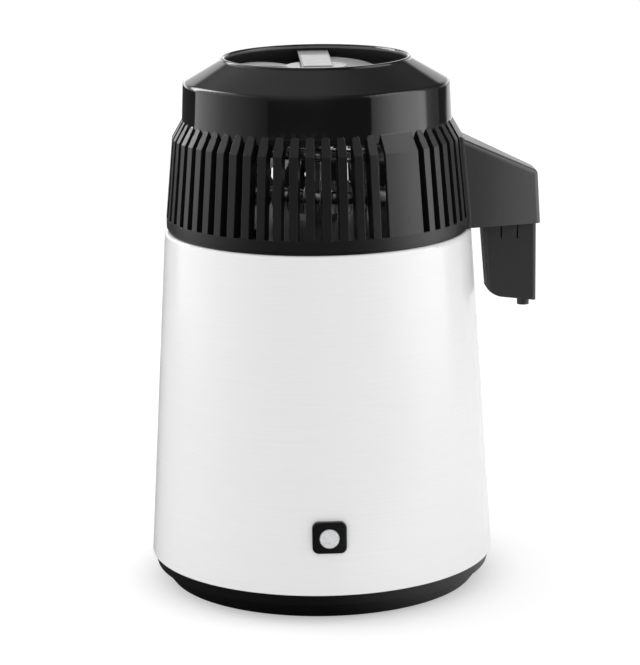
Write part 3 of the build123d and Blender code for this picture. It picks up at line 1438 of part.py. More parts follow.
def motor_bearings():
    upper = flange_low - 2 * FIT
    spans = ((upper - BEARING_L, upper), (tube_low, tube_low + BEARING_L))
    return [ring(BEARING_R, SHAFT_R + FIT, low, high) for low, high in spans]


def pole_arms():
    """Arms of the core, along +X and turned round."""
    reach = CORE_R - POLE_SHOE_T / 2
    arm = block(MOTOR_TUBE_R + CORE_RING_T / 2, reach, -POLE_W / 2, POLE_W / 2, core_low, core_low + CORE_H)
    return around(arm, evenly(POLES))


def stator_core():
    high = core_low + CORE_H
    core = ring(MOTOR_TUBE_R + CORE_RING_T, MOTOR_TUBE_R, core_low, high)
    shoe_ring = ring(CORE_R, CORE_R - POLE_SHOE_T, core_low, high)
    far = 2 * CORE_R
    reach = far * tan(radians(POLE_SHOE_ARC / 2))
    wedge = make_face(Polyline((0, 0), (far, -reach), (far, reach), close=True))
    shoe = (Pos(0, 0, core_low) * extrude(wedge, CORE_H)) & shoe_ring
    for piece in pole_arms() + around(shoe, evenly(POLES)):
        core += piece
    return core


def stator_winding():
    """Copper coils, one round each arm."""
    half = POLE_W / 2
    inner = MOTOR_TUBE_R + CORE_RING_T
    wide = half + WINDING_T
    outer = sqrt((CORE_R - POLE_SHOE_T) ** 2 - wide ** 2)
    coil = block(inner, outer, -wide, wide, core_low - WINDING_T, core_low + CORE_H + WINDING_T)
    coil -= block(inner, outer, -half, half, core_low, core_low + CORE_H)
    return around(coil, evenly(POLES))


def rotor_ring():
    return ring(hub_in_r, flux_in_r, hub_floor + ROTOR_INSET, hub_top - ROTOR_INSET)


def fan_blades():
    """Hub cup, open at the top, with pitched blades."""
    boss_top = tube_low - 4 * FIT
    hub = ring(hub_out_r, hub_in_r, hub_floor, hub_top) + disc(hub_out_r, hub_low, hub_floor)
    hub += disc(2 * SHAFT_R, hub_low, boss_top)
    half_arc = radians(BLADE_ARC / 2)
    half_w = fan_r * sin(half_arc)
    rise = half_w * tan(radians(BLADE_PITCH)) + BLADE_T / 2 / cos(radians(BLADE_PITCH))
    middle = bar_low - BLADE_GAP - rise
    far = 2 * fan_r
    spread = far * tan(half_arc)
    sector = make_face(Polyline((0, 0), (far, -spread), (far, spread), close=True))
    reach = ring(fan_r, hub_out_r - HUB_T / 2, middle - half_w, middle + half_w)
    plate = Rot(BLADE_PITCH, 0, 0) * block(0, far, *span(0, 4 * half_w), *span(0, BLADE_T))
    blade = (Pos(0, 0, middle) * plate) & reach & (Pos(0, 0, middle - half_w) * extrude(sector, 2 * half_w))
    for piece in around(blade, evenly(BLADES)):
        hub += piece
    return hub - disc(SHAFT_R, hub_low, boss_top)


def fan_shaft():
    return disc(SHAFT_R, hub_low, bar_low - RUN)


def shaft_clip():
    low = flange_low
    return ring(CLIP_RING_R, SHAFT_R, low, low + CLIP_RING_T)


# ---------------------------------------------------------------------------- write the pieces
PIECES = (
    base_moulding, bottom_plate, bottom_screws, foot_ring, body_shell, boiler_pot, pot_studs, stud_nuts,
    stud_spacers, heat_shield, heater_plate, heating_element, element_terminals, boil_dry_thermostat,
    thermostat_bracket, bracket_nuts, reset_bezel, reset_button, reset_spring, reset_switch,
    switch_terminals, bezel_clip, socket_panel, mains_inlet, mains_pins, fan_outlet, outlet_contacts,
    socket_screws, base_wiring, head_cover, spout_housing, spout_screws, fan_lead_gland, filter_cup,
    cup_strainer, carbon_bag, condenser_coil, condenser_fins, coil_brackets, steam_riser, outlet_tube,
    tube_couplings, outlet_grommet, head_base_plate, head_screws, head_gasket, steam_port, port_nut,
    splash_baffle, motor_bridge, bridge_screws, label_plate, motor_base, motor_bearings, stator_core,
    stator_winding, rotor_ring, fan_blades, fan_shaft, shaft_clip,
)

os.makedirs("parts", exist_ok=True)
for piece in PIECES:
    made = piece()
    save(piece.__name__, *(made if isinstance(made, list) else [made]))
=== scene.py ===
import math

import bmesh
import bpy
from bpy.props import FloatProperty, FloatVectorProperty, IntProperty, PointerProperty
from mathutils import Matrix, Vector
from mathutils.noise import noise as noise_at


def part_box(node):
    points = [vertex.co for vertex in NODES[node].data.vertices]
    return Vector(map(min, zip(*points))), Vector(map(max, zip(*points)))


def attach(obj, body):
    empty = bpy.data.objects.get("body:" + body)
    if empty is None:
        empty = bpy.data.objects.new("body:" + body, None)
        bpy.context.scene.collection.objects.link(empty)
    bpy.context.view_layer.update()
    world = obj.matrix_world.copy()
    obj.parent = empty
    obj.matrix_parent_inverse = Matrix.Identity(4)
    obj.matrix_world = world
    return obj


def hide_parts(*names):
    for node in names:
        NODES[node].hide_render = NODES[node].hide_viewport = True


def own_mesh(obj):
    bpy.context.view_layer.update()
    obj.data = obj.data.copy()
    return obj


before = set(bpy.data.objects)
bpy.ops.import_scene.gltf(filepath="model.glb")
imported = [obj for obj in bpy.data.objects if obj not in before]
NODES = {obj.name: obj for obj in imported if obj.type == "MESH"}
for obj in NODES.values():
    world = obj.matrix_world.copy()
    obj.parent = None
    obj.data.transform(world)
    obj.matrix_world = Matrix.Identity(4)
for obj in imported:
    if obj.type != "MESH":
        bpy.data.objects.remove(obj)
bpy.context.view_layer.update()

bl_info = {
    "name": "Countertop Water Distiller",
    "version": (1, 0, 0),
    "blender": (4, 5, 0),
    "location": "View3D > Sidebar > Distiller",
    "description": "Dresses a countertop water distiller piece by piece and sets it on a studio floor",
    "category": "Object",
}

SAME_POINT = 1e-6               # corners nearer than this are one
NOISE_RANGE = (0.3, 0.7)        # nearly all of a noise texture's values lie between these
COLOUR_A, COLOUR_B = 6, 7       # sockets of a colour mix
MIXED_COLOUR = 2
STOPS_IN_NEW_RAMP = 2
SHARP_METAL, SHARP_PLASTIC = math.radians(38), math.radians(40)  # edges above these stay crisp
LOW_HEAD, PAN_HEAD = 0.0009, 0.002  # heights of the screws' heads
HUB_WALL, HUB_FLOOR, HUB_HEIGHT = 0.0019, 0.0020, 0.0210
BLADE_THICKNESS = 0.0013
FAN_CLEARANCE = 0.0001          # kept free inside the box of the fan's node
DOWN, BACK = (0.0, 0.0, -1.0), (0.0, 1.0, 0.0)  # ways that screws' heads face
CUP_LEAN = math.radians(1.7)    # the spout and its cup stand this much round from X
SPOUT_INWARD = (-1.0, -0.0297, 0.0)  # from the spout towards the head's middle

# Light panels: depth behind the distiller's axis and share of the panel's strength there, the share of that
# strength which falls on matt surfaces, and where the panels stand.
LEFT_PANEL_STEPS = ((-1.35, 0.08), (-0.78, 0.26), (-0.20, 0.50), (0.20, 0.9), (0.75, 1.0))
RIGHT_PANEL_STEPS = (
    (-1.12, 0.18), (-0.62, 0.72), (-0.30, 1.0), (0.14, 1.0), (0.24, 0.9), (0.31, 0.10), (0.80, 0.08))
LEFT_SPILL, RIGHT_SPILL = 1.5, 0.62
PANEL_OFFSET, PANEL_FOOT, PANEL_TOP = 1.15, -0.25, 1.9
CAMERA_ASIDE, SENSOR_WIDTH_MM = 0.00041, 36.0
RIGHTWARD, REARWARD = Vector((1.0, 0.0, 0.0)), Vector((0.0, 1.0, 0.0))


# ---------------------------------------------------------------- sizes and colours a user would change
class CoverSettings(bpy.types.PropertyGroup):
    """Black moulded head cover"""
    colour: FloatVectorProperty(
        name="Plastic", description="Colour of the black moulded cover", subtype="COLOR",
        size=3, min=0.0, max=1.0, default=(0.0038, 0.0038, 0.0042))
    # Painted reflection: the cover's inside is coloured grey to stand in for the reflections that show on its
    # inner walls.
    inner_painted_reflection: FloatVectorProperty(
        name="Lining", description="Colour of the cover's unpolished inside", subtype="COLOR",
        size=3, min=0.0, max=1.0, default=(0.14, 0.14, 0.143))
    dome_roughness: FloatProperty(
        name="Dome roughness", description="Roughness of the polished dome", default=0.07, min=0.0, max=1.0)
    rib_roughness: FloatProperty(
        name="Rib roughness", description="Roughness of the satin ribs and band",
        default=0.36, min=0.0, max=1.0)
    dome_radius: FloatProperty(
        name="Dome radius", description="Outer radius of the dome's upright wall at its foot",
        default=0.0890, unit="LENGTH")
    dome_foot: FloatProperty(
        name="Dome foot", description="Level above which the wall between the ribs is polished",
        default=0.3055, unit="LENGTH")


class CasingSettings(bpy.types.PropertyGroup):
    """White enamelled casing"""
    colour: FloatVectorProperty(
        name="Enamel", description="Colour of the white enamel", subtype="COLOR",
        size=3, min=0.0, max=1.0, default=(0.86, 0.86, 0.86))
    roughness: FloatProperty(
        name="Roughness", description="Roughness of the enamel", default=0.20, min=0.0, max=1.0)
    grain: FloatProperty(
        name="Grain depth", description="Depth of the faint lines that run round the casing",
        default=0.000012, unit="LENGTH", precision=6)


class TrimSettings(bpy.types.PropertyGroup):
    """Smaller plastic, rubber and metal pieces"""
    base: FloatVectorProperty(
        name="Base", description="Colour of the textured base moulding", subtype="COLOR",
        size=3, min=0.0, max=1.0, default=(0.003, 0.003, 0.0033))
    cup: FloatVectorProperty(
        name="Cup", description="Colour of the filter cup", subtype="COLOR",
        size=3, min=0.0, max=1.0, default=(0.024, 0.024, 0.025))
    spout: FloatVectorProperty(
        name="Spout", description="Colour of the spout", subtype="COLOR",
        size=3, min=0.0, max=1.0, default=(0.034, 0.034, 0.035))
    button: FloatVectorProperty(
        name="Button", description="Colour of the reset button", subtype="COLOR",
        size=3, min=0.0, max=1.0, default=(0.66, 0.67, 0.68))
    steel: FloatVectorProperty(
        name="Steel", description="Colour of the stainless pieces", subtype="COLOR",
        size=3, min=0.0, max=1.0, default=(0.66, 0.66, 0.65))
    fan: FloatVectorProperty(
        name="Fan", description="Colour of the fan", subtype="COLOR",
        size=3, min=0.0, max=1.0, default=(0.25, 0.25, 0.257))
    label: FloatVectorProperty(
        name="Label", description="Colour of the bare label plate", subtype="COLOR",
        size=3, min=0.0, max=1.0, default=(0.27, 0.27, 0.267))


class FanSettings(bpy.types.PropertyGroup):
    """Cooling fan"""
    blades: IntProperty(name="Blades", description="Number of blades", default=5, min=2, max=9)
    hub_radius: FloatProperty(
        name="Hub radius", description="Outer radius of the hub cup",
        default=0.0228, unit="LENGTH", precision=4)
    bore_radius: FloatProperty(
        name="Bore radius", description="Radius of the bore on the shaft",
        default=0.0020, unit="LENGTH", precision=4)
    blade_arc: FloatProperty(
        name="Blade arc", description="Angle that a blade covers at its tip", subtype="ANGLE",
        default=math.radians(62.0))
    blade_turn: FloatProperty(
        name="Blade turn", description="Turn of the first blade at rest", subtype="ANGLE",
        default=math.radians(54.0))
    blade_drop: FloatProperty(
        name="Blade drop", description="Fall from a blade's leading to its trailing edge at the tip",
        default=0.0065, unit="LENGTH", precision=4)


class ButtonSettings(bpy.types.PropertyGroup):
    """Reset button's return spring"""
    spring_turns: FloatProperty(
        name="Spring turns", description="Turns of wire in the return spring", default=3.5, min=1.0, max=12.0)
    spring_wire: FloatProperty(
        name="Spring wire", description="Radius of the spring's wire",
        default=0.0003, unit="LENGTH", precision=5)
    travel: FloatProperty(
        name="Button travel", description="How far the button goes in",
        default=0.002, unit="LENGTH", precision=4)


class StageSettings(bpy.types.PropertyGroup):
    """Floor, lamps and camera"""
    floor: FloatVectorProperty(
        name="Floor", description="Share of the light that the floor scatters to the eye", subtype="COLOR",
        size=3, min=0.0, max=1.0, default=(0.65, 0.65, 0.65))
    floor_glow: FloatProperty(
        name="Floor glow", description="Light that the floor gives to the eye in its shadows",
        default=0.41, min=0.0)
    floor_radius: FloatProperty(
        name="Floor radius", description="Radius of the round floor", default=6.0, unit="LENGTH")
    fill: FloatProperty(
        name="Fill", description="Strength of the even light from all round", default=1.205, min=0.0)
    left_panel: FloatProperty(
        name="Left panel", description="Strength of the tall panel at the left", default=1.6, min=0.0)
    right_panel: FloatProperty(
        name="Right panel", description="Strength of the tall panel at the right", default=2.7, min=0.0)
    camera_turn: FloatProperty(
        name="Camera turn", description="Turn of the camera about the distiller", subtype="ANGLE",
        default=math.radians(-2.46))
    camera_distance: FloatProperty(
        name="Camera distance", description="From the distiller's axis to the camera, over the floor",
        default=1.7527, unit="LENGTH")
    camera_height: FloatProperty(
        name="Camera height", description="Camera above the floor", default=0.57545, unit="LENGTH")
    camera_tilt: FloatProperty(
        name="Camera tilt", description="How far the camera looks down", subtype="ANGLE",
        default=0.2295)
    camera_roll: FloatProperty(
        name="Camera roll", description="Lean of the camera", subtype="ANGLE", default=0.0127)
    focal_length: FloatProperty(
        name="Focal length", description="Focal length on a 36 mm frame", default=145.37, unit="CAMERA")


# ---------------------------------------------------------------- node helpers
def new_material(name):
    material = bpy.data.materials.new(name)
    material.use_nodes = True
    material.node_tree.nodes.clear()
    return material


def math_node(tree, operation, first, second=None):
    node = tree.nodes.new("ShaderNodeMath")
    node.operation = operation
    for index, value in enumerate((first, second)):
        if value is None:
            continue
        if isinstance(value, (int, float)):
            node.inputs[index].default_value = value
        else:
            tree.links.new(value, node.inputs[index])
    return node.outputs[0]


def product(tree, first, *others):
    """The values multiplied together."""
    for other in others:
        first = math_node(tree, "MULTIPLY", first, other)
    return first


def total(tree, first, *others):
    """The values added together."""
    for other in others:
        first = math_node(tree, "ADD", first, other)
    return first


def place(tree):
    """Coordinates in metres on the distiller itself."""
    return tree.nodes.new("ShaderNodeTexCoord").outputs["Object"]


def parts_of(tree, vector):
    """A vector's X, Y and Z."""
    node = tree.nodes.new("ShaderNodeSeparateXYZ")
    tree.links.new(vector, node.inputs[0])
    return node.outputs


def axis_distance(tree, x, y):
    """Distance from the upright axis."""
    return math_node(tree, "SQRT", total(tree, product(tree, x, x), product(tree, y, y)))


def across(tree, vector, axis):
    """Position along an axis."""
    node = tree.nodes.new("ShaderNodeVectorMath")
    node.operation = "DOT_PRODUCT"
    node.inputs[1].default_value = axis
    tree.links.new(vector, node.inputs[0])
    return node.outputs["Value"]


def smooth_range(tree, value, start, end, low, high):
    """Eases from low to high as the value goes from start to end."""
    node = tree.nodes.new("ShaderNodeMapRange")
    node.interpolation_type = "SMOOTHSTEP"
    for name, number in (("From Min", start), ("From Max", end), ("To Min", low), ("To Max", high)):
        node.inputs[name].default_value = number
    tree.links.new(value, node.inputs["Value"])
    return node.outputs[0]


def stretched(tree, vector, scale):
    """Coordinates scaled along X, Y and Z."""
    mapping = tree.nodes.new("ShaderNodeMapping")
    mapping.inputs["Scale"].default_value = scale
    tree.links.new(vector, mapping.inputs["Vector"])
    return mapping.outputs["Vector"]


def round_place(tree, radial, around, along):
    """Coordinates that follow a turned piece: radius, way round and level, each with its scale."""
    x, y, z = parts_of(tree, place(tree))
    turn = math_node(tree, "ARCTAN2", x, y)
    joined = tree.nodes.new("ShaderNodeCombineXYZ")
    for socket, value, scale in ((0, axis_distance(tree, x, y), radial), (1, turn, around), (2, z, along)):
        tree.links.new(product(tree, value, scale), joined.inputs[socket])
    return joined.outputs[0]


def noise(tree, vector, scale, detail=2.0, roughness=0.5):
    """Noise whose scale is roughly its lumps to a metre."""
    node = tree.nodes.new("ShaderNodeTexNoise")
    node.inputs["Scale"].default_value = scale
    node.inputs["Detail"].default_value = detail
    node.inputs["Roughness"].default_value = roughness
    tree.links.new(vector, node.inputs["Vector"])
    return node.outputs["Fac"]


def spread(tree, value, low, high):
    """A noise value moved to the range low to high."""
    node = tree.nodes.new("ShaderNodeMapRange")
    node.inputs["From Min"].default_value, node.inputs["From Max"].default_value = NOISE_RANGE
    node.inputs["To Min"].default_value = low
    node.inputs["To Max"].default_value = high
    tree.links.new(value, node.inputs["Value"])
    return node.outputs[0]


def blended(tree, factor, dark, light):
    """One colour or socket faded into another."""
    node = tree.nodes.new("ShaderNodeMix")
    node.data_type = "RGBA"
    tree.links.new(factor, node.inputs["Factor"])
    for socket, colour in ((COLOUR_A, dark), (COLOUR_B, light)):
        if isinstance(colour, bpy.types.NodeSocket):
            tree.links.new(colour, node.inputs[socket])
        else:
            node.inputs[socket].default_value = (*colour[:3], 1.0)
    return node.outputs[MIXED_COLOUR]


def shade(colour, factor):
    return tuple(min(1.0, channel * factor) for channel in colour[:3])


def grey(value):
    return (value, value, value)


def toned(tree, value, colour, darker, lighter):
    """A colour that varies between two of its shades with a noise value."""
    return blended(tree, spread(tree, value, 0.0, 1.0), shade(colour, darker), shade(colour, lighter))


def softened_edges(tree, radius):
    """Normal that rounds sharp moulded edges by a small radius."""
    node = tree.nodes.new("ShaderNodeBevel")
    node.samples = 4
    node.inputs["Radius"].default_value = radius
    return node.outputs[0]


def relief(tree, height, depth, normal=None):
    """Normal of a surface with so deep a relief."""
    node = tree.nodes.new("ShaderNodeBump")
    node.inputs["Distance"].default_value = depth
    node.inputs["Strength"].default_value = 1.0
    tree.links.new(height, node.inputs["Height"])
    if normal is not None:
        tree.links.new(normal, node.inputs["Normal"])
    return node.outputs[0]


def shown(tree, socket, kind="ShaderNodeOutputMaterial"):
    """The socket becomes what the material or world shows."""
    tree.links.new(socket, tree.nodes.new(kind).inputs["Surface"])


def surface(material, colour, roughness, normal=None, **constants):
    """Principled surface and output. Colour and roughness are sockets or values, the rest constants."""
    tree = material.node_tree
    shader = tree.nodes.new("ShaderNodeBsdfPrincipled")
    shown(tree, shader.outputs[0])
    for name, value in (("Base Color", colour), ("Roughness", roughness), ("Normal", normal)):
        if value is None:
            continue
        if isinstance(value, bpy.types.NodeSocket):
            tree.links.new(value, shader.inputs[name])
        elif name == "Base Color":
            shader.inputs[name].default_value = (*value[:3], 1.0)
        else:
            shader.inputs[name].default_value = value
    for name, value in constants.items():
        shader.inputs[name.replace("_", " ").title().replace("Ior", "IOR")].default_value = value
    return material


# ---------------------------------------------------------------- finishes
def moulded_plastic(name, colour, roughness, grain=0.0005, depth=0.00002, edge=0.0005, **constants):
    """Moulded plastic with a fine spark grain, slightly uneven gloss and softened edges."""
    material = new_material(name)
    tree = material.node_tree
    where = place(tree)
    cloud = noise(tree, where, 18.0, 3.0)
    speck = noise(tree, where, 1.0 / grain, 2.0, 0.6)
    tone = toned(tree, speck, colour, 0.82, 1.22)
    rough = total(tree, spread(tree, cloud, roughness - 0.03, roughness + 0.03),
                  spread(tree, speck, -0.03, 0.03))
    normal = relief(tree, speck, depth, softened_edges(tree, edge))
    return surface(material, tone, rough, normal, **constants)


def spout_plastic(colour):
    """Satin moulded plastic whose colour is painted paler towards the spout's outer end, standing in for the
    light that falls on it from the right.
    """
    material = moulded_plastic("spout_plastic", colour, 0.36, ior=1.5)
    tree = material.node_tree
    shader = next(node for node in tree.nodes if node.type == "BSDF_PRINCIPLED")
    base = shader.inputs["Base Color"].links[0].from_socket
    # Painted light: the colour brightens from the root to the spout's outer end, where light from the right
    # falls.
    root_x, nose_x, root_shade_share, nose_light_share = 0.100, 0.147, 0.82, 1.9
    painted_nose_light = smooth_range(tree, parts_of(tree, place(tree))[0], root_x, nose_x, root_shade_share, nose_light_share)
    painted_light_fade = tree.nodes.new("ShaderNodeVectorMath")
    painted_light_fade.operation = "SCALE"
    tree.links.new(base, painted_light_fade.inputs[0])
    tree.links.new(painted_nose_light, painted_light_fade.inputs["Scale"])
    tree.links.new(painted_light_fade.outputs[0], shader.inputs["Base Color"])
    return material


def facing_out(tree, x, y):
    """1 on surfaces that look away from the upright axis or upwards, 0 on those that look inwards."""
    upward, edge_on = 0.3, -0.001
    facing = parts_of(tree, tree.nodes.new("ShaderNodeNewGeometry").outputs["True Normal"])
    out = total(tree, product(tree, facing[0], x), product(tree, facing[1], y))
    up = math_node(tree, "GREATER_THAN", facing[2], upward)
    return math_node(tree, "MAXIMUM", math_node(tree, "GREATER_THAN", out, edge_on), up)


def cover_plastic(settings):
    """Polished on the dome, satin with a fine grain on the ribs and the band; inward-facing surfaces get a
    grey colour that paints in the reflections on the inner walls.
    """
    material = new_material("cover_plastic")
    tree = material.node_tree
    where = place(tree)
    x, y, z = parts_of(tree, where)
    inside = math_node(tree, "LESS_THAN", axis_distance(tree, x, y), settings.dome_radius)
    above = math_node(tree, "GREATER_THAN", z, settings.dome_foot)
    outward = facing_out(tree, x, y)
    polished = product(tree, inside, above, outward)
    satin = math_node(tree, "SUBTRACT", 1.0, polished)
    cloud = noise(tree, where, 14.0, 3.0)
    speck = noise(tree, where, 2200.0, 2.0, 0.6)
    satin_rough = total(tree, spread(tree, cloud, -0.03, 0.03), settings.rib_roughness)
    dome_rough = total(tree, spread(tree, cloud, -0.02, 0.02), settings.dome_roughness)
    rough = total(tree, product(tree, satin_rough, satin), product(tree, dome_rough, polished))
    ribs = shade(settings.colour, 1.35)
    tone = toned(tree, speck, ribs, 0.85, 1.2)
    tone = blended(tree, polished, tone, settings.colour)
    # Painted reflection: inward-facing surfaces take the grey inside colour in place of the reflections they
    # show.
    tone = blended(tree, outward, settings.inner_painted_reflection, tone)
    height = product(tree, speck, satin)
    normal = relief(tree, height, 0.00002, softened_edges(tree, 0.0006))
    return surface(material, tone, rough, normal, ior=1.5)


def casing_enamel(settings):
    """White enamel over brushed steel: faint lines run round the casing under the gloss."""
    material = new_material("white_enamel")
    tree = material.node_tree
    lines = noise(tree, round_place(tree, 40.0, 3.0, 2400.0), 1.0, 3.0, 0.65)
    patches = noise(tree, round_place(tree, 20.0, 2.0, 60.0), 1.0, 2.0)
    tone = toned(tree, lines, settings.colour, 0.975, 1.015)
    rough = total(tree, spread(tree, patches, -0.02, 0.03), settings.roughness)
    normal = relief(tree, lines, settings.grain, softened_edges(tree, 0.0005))
    return surface(material, tone, rough, normal, ior=1.5)


def turned_steel(name, colour, roughness=0.24, lines=1500.0, depth=0.000008):
    """Stainless steel spun or polished round its axis."""
    material = new_material(name)
    tree = material.node_tree
    grain = noise(tree, round_place(tree, lines, 3.0, lines), 1.0, 3.0, 0.7)
    smear = noise(tree, place(tree), 22.0, 3.0)
    tone = toned(tree, grain, colour, 0.86, 1.08)
    rough = total(tree, spread(tree, grain, -0.05, 0.06),
                  spread(tree, smear, roughness - 0.03, roughness + 0.06))
    normal = relief(tree, grain, depth, softened_edges(tree, 0.0003))
    return surface(material, tone, rough, normal, metallic=1.0)


def plain_metal(name, colour, roughness=0.3, grain=0.0008, depth=0.00001, tarnish=0.75):
    """Plated or drawn metal with slight tarnish."""
    material = new_material(name)
    tree = material.node_tree
    where = place(tree)
    speck = noise(tree, where, 1.0 / grain, 3.0, 0.6)
    stain = noise(tree, where, 70.0, 4.0, 0.6)
    tone = toned(tree, stain, colour, tarnish, 1.06)
    rough = total(tree, spread(tree, stain, 0.07, -0.03),
                  spread(tree, speck, roughness - 0.04, roughness + 0.04))
    normal = relief(tree, speck, depth, softened_edges(tree, 0.0002))
    return surface(material, tone, rough, normal, metallic=1.0)


def drawn_tube(name, colour):
    """Bright drawn tube and pressed fins."""
    material = new_material(name)
    tree = material.node_tree
    where = place(tree)
    scuff = noise(tree, where, 260.0, 4.0, 0.65)
    tone = toned(tree, scuff, colour, 0.8, 1.1)
    rough = spread(tree, scuff, 0.12, 0.26)
    return surface(material, tone, rough, relief(tree, scuff, 0.00003), metallic=1.0)


def soft_rubber(name, colour, roughness=0.65):
    """Rubber, silicone or flexible insulation with a matt grain and some dust."""
    material = new_material(name)
    tree = material.node_tree
    where = place(tree)
    speck = noise(tree, where, 1600.0, 3.0, 0.7)
    dust = noise(tree, where, 45.0, 4.0, 0.6)
    tone = toned(tree, dust, colour, 0.85, 1.35)
    rough = total(tree, spread(tree, speck, -0.05, 0.05), roughness)
    return surface(material, tone, rough, relief(tree, speck, 0.00003, softened_edges(tree, 0.0006)))


def fan_plastic(colour):
    """Grey moulded plastic with faint flow lines."""
    material = new_material("fan_plastic")
    tree = material.node_tree
    flow = noise(tree, round_place(tree, 260.0, 2.0, 40.0), 1.0, 4.0, 0.6)
    speck = noise(tree, place(tree), 1800.0, 2.0)
    tone = toned(tree, flow, colour, 0.72, 1.3)
    rough = spread(tree, flow, 0.46, 0.58)
    return surface(material, tone, rough, relief(tree, speck, 0.00001, softened_edges(tree, 0.0004)))


def label_film(colour):
    """Bare satin film with a slightly uneven sheen."""
    material = new_material("label_film")
    tree = material.node_tree
    where = place(tree)
    cloud = noise(tree, where, 120.0, 3.0)
    tone = toned(tree, cloud, colour, 0.95, 1.03)
    return surface(material, tone, spread(tree, cloud, 0.28, 0.4), relief(tree, cloud, 0.00002))


def wound_copper():
    """Enamelled wire laid side by side."""
    material = new_material("copper_wire")
    tree = material.node_tree
    wave = tree.nodes.new("ShaderNodeTexWave")
    wave.bands_direction = "Z"
    wave.inputs["Scale"].default_value = 420.0
    wave.inputs["Distortion"].default_value = 0.6
    tree.links.new(place(tree), wave.inputs["Vector"])
    wires = wave.outputs["Fac"]
    tone = blended(tree, wires, (0.30, 0.09, 0.03), (0.78, 0.34, 0.14))
    return surface(material, tone, 0.3, relief(tree, wires, 0.0002), metallic=0.8, coat_weight=0.4)


def carbon_cloth():
    """Pale nonwoven cloth with dark grains that show through."""
    material = new_material("carbon_cloth")
    tree = material.node_tree
    where = place(tree)
    fibre = noise(tree, stretched(tree, where, (1.0, 1.0, 0.35)), 1500.0, 4.0, 0.7)
    grains = tree.nodes.new("ShaderNodeTexVoronoi")
    grains.inputs["Scale"].default_value = 520.0
    tree.links.new(where, grains.inputs["Vector"])
    dark_grain, pale_grain, cloth = grey(0.30), (0.62, 0.62, 0.60), (0.78, 0.78, 0.76)
    under = blended(tree, spread(tree, grains.outputs["Distance"], 0.0, 1.0), dark_grain, pale_grain)
    tone = blended(tree, spread(tree, fibre, 0.0, 1.0), under, cloth)
    return surface(material, tone, 0.9, relief(tree, fibre, 0.00015), sheen_weight=0.3)


def dress(material, *names):
    """The finish goes on these nodes' own surfaces."""
    for name in names:
        mesh = NODES[name].data
        mesh.materials.clear()
        mesh.materials.append(material)


# ---------------------------------------------------------------- mesh helpers
def mesh_object(name, bm, material, smooth=True):
    mesh = bpy.data.meshes.new(name)
    bmesh.ops.recalc_face_normals(bm, faces=bm.faces)
    bm.to_mesh(mesh)
    bm.free()
    obj = bpy.data.objects.new(name, mesh)
    bpy.context.scene.collection.objects.link(obj)
    mesh.materials.append(material)
    if smooth:
        mesh.shade_smooth()
    return obj


def solids_of(node):
    """The corner points of each separate solid in a node, whose faces come unjoined."""
    bm = bmesh.new()
    bm.from_mesh(NODES[node].data)
    bmesh.ops.remove_doubles(bm, verts=bm.verts, dist=SAME_POINT)
    seen = set()
    groups = []
    for start in bm.verts:
        if start in seen:
            continue
        seen.add(start)
        reached, group = [start], []
        while reached:
            vert = reached.pop()
            group.append(vert.co.copy())
            for edge in vert.link_edges:
                other = edge.other_vert(vert)
                if other not in seen:
                    seen.add(other)
                    reached.append(other)
        groups.append(group)
    bm.free()
    return groups


def band(bm, low, high):
    """Faces between two rings of vertices."""
    for i in range(len(low)):
        j = (i + 1) % len(low)
        bm.faces.new((low[i], low[j], high[j], high[i]))


def skin_rings(bm, rings):
    """Faces from ring to ring, with both ends closed."""
    for low, high in zip(rings, rings[1:]):
        band(bm, low, high)
    bm.faces.new(reversed(rings[0]))
    bm.faces.new(rings[-1])


def skin_grid(bm, grid):
    """Faces over rows of vertices."""
    for near, far in zip(grid, grid[1:]):
        for i in range(len(near) - 1):
            bm.faces.new((near[i], near[i + 1], far[i + 1], far[i]))


def grid_edge(grid):
    """The outer vertices of a grid, in order."""
    return grid[0][:-1] + [row[-1] for row in grid[:-1]] + grid[-1][:0:-1] + [row[0] for row in grid[:0:-1]]


def closed_sheets(bm, first, second):
    """Two grids skinned and joined along their outer edges."""
    skin_grid(bm, first)
    skin_grid(bm, second)
    band(bm, grid_edge(first), grid_edge(second))


def pan_head_screw(bm, head_top, tip, head_height):
    """Cross-recessed screw with a cut thread, from its tip to the top of its head."""
    shank_radius, head_radius, pitch = 0.0015, 0.0028, 0.0007
    point_share, thread_share = 0.4, 0.14           # of the shank's radius
    crown_share, crown_power = 0.42, 2.6            # fall of the crown, of the head's height
    recess_reach, recess_half, recess_depth = 0.0016, 0.00034, 0.55 * head_height
    around, steps_per_pitch, fewest_steps = 64, 4, 8
    # of the head's radius, closer together where the recess is cut
    crown_shares = (1.0, 0.96, 0.86, 0.74, 0.64, 0.58, 0.54, 0.48, 0.40, 0.32, 0.24, 0.17, 0.12, 0.08, 0.04)
    axis = head_top - tip
    length = axis.length
    seat = length - head_height
    along = axis.to_track_quat("Z", "Y").to_matrix().to_4x4()
    along.translation = tip
    rings = []

    def ring(radius_at, level_at):
        points = []
        for i in range(around):
            turn = 2 * math.pi * i / around
            radius = radius_at(turn)
            spot = Vector((radius * math.cos(turn), radius * math.sin(turn), level_at(radius, turn)))
            points.append(bm.verts.new(along @ spot))
        rings.append(points)

    def plain_ring(radius, level):
        ring(lambda turn: radius, lambda radius, turn: level)

    def thread_ring(level):
        def radius_at(turn):
            groove = abs((level / pitch + turn / (2 * math.pi)) % 1.0 - 0.5) * 2
            return shank_radius * (1.0 - thread_share * groove)
        ring(radius_at, lambda radius, turn: level)

    def crown(radius, turn):
        level = length - head_height * crown_share * (radius / head_radius) ** crown_power
        x, y = abs(radius * math.cos(turn)), abs(radius * math.sin(turn))
        if min(x, y) < recess_half and max(x, y) < recess_reach:
            return level - recess_depth * (1.0 - (max(x, y) / recess_reach) ** 2)
        return level

    plain_ring(point_share * shank_radius, 0.0)
    steps = max(fewest_steps, int(seat / pitch * steps_per_pitch))
    for k in range(1, steps):
        thread_ring(seat * k / steps)
    plain_ring(shank_radius, seat)
    plain_ring(head_radius * 0.97, seat)
    plain_ring(head_radius, seat + 0.1 * head_height)
    for share in crown_shares:
        ring(lambda turn: head_radius * share, crown)
    skin_rings(bm, rings)


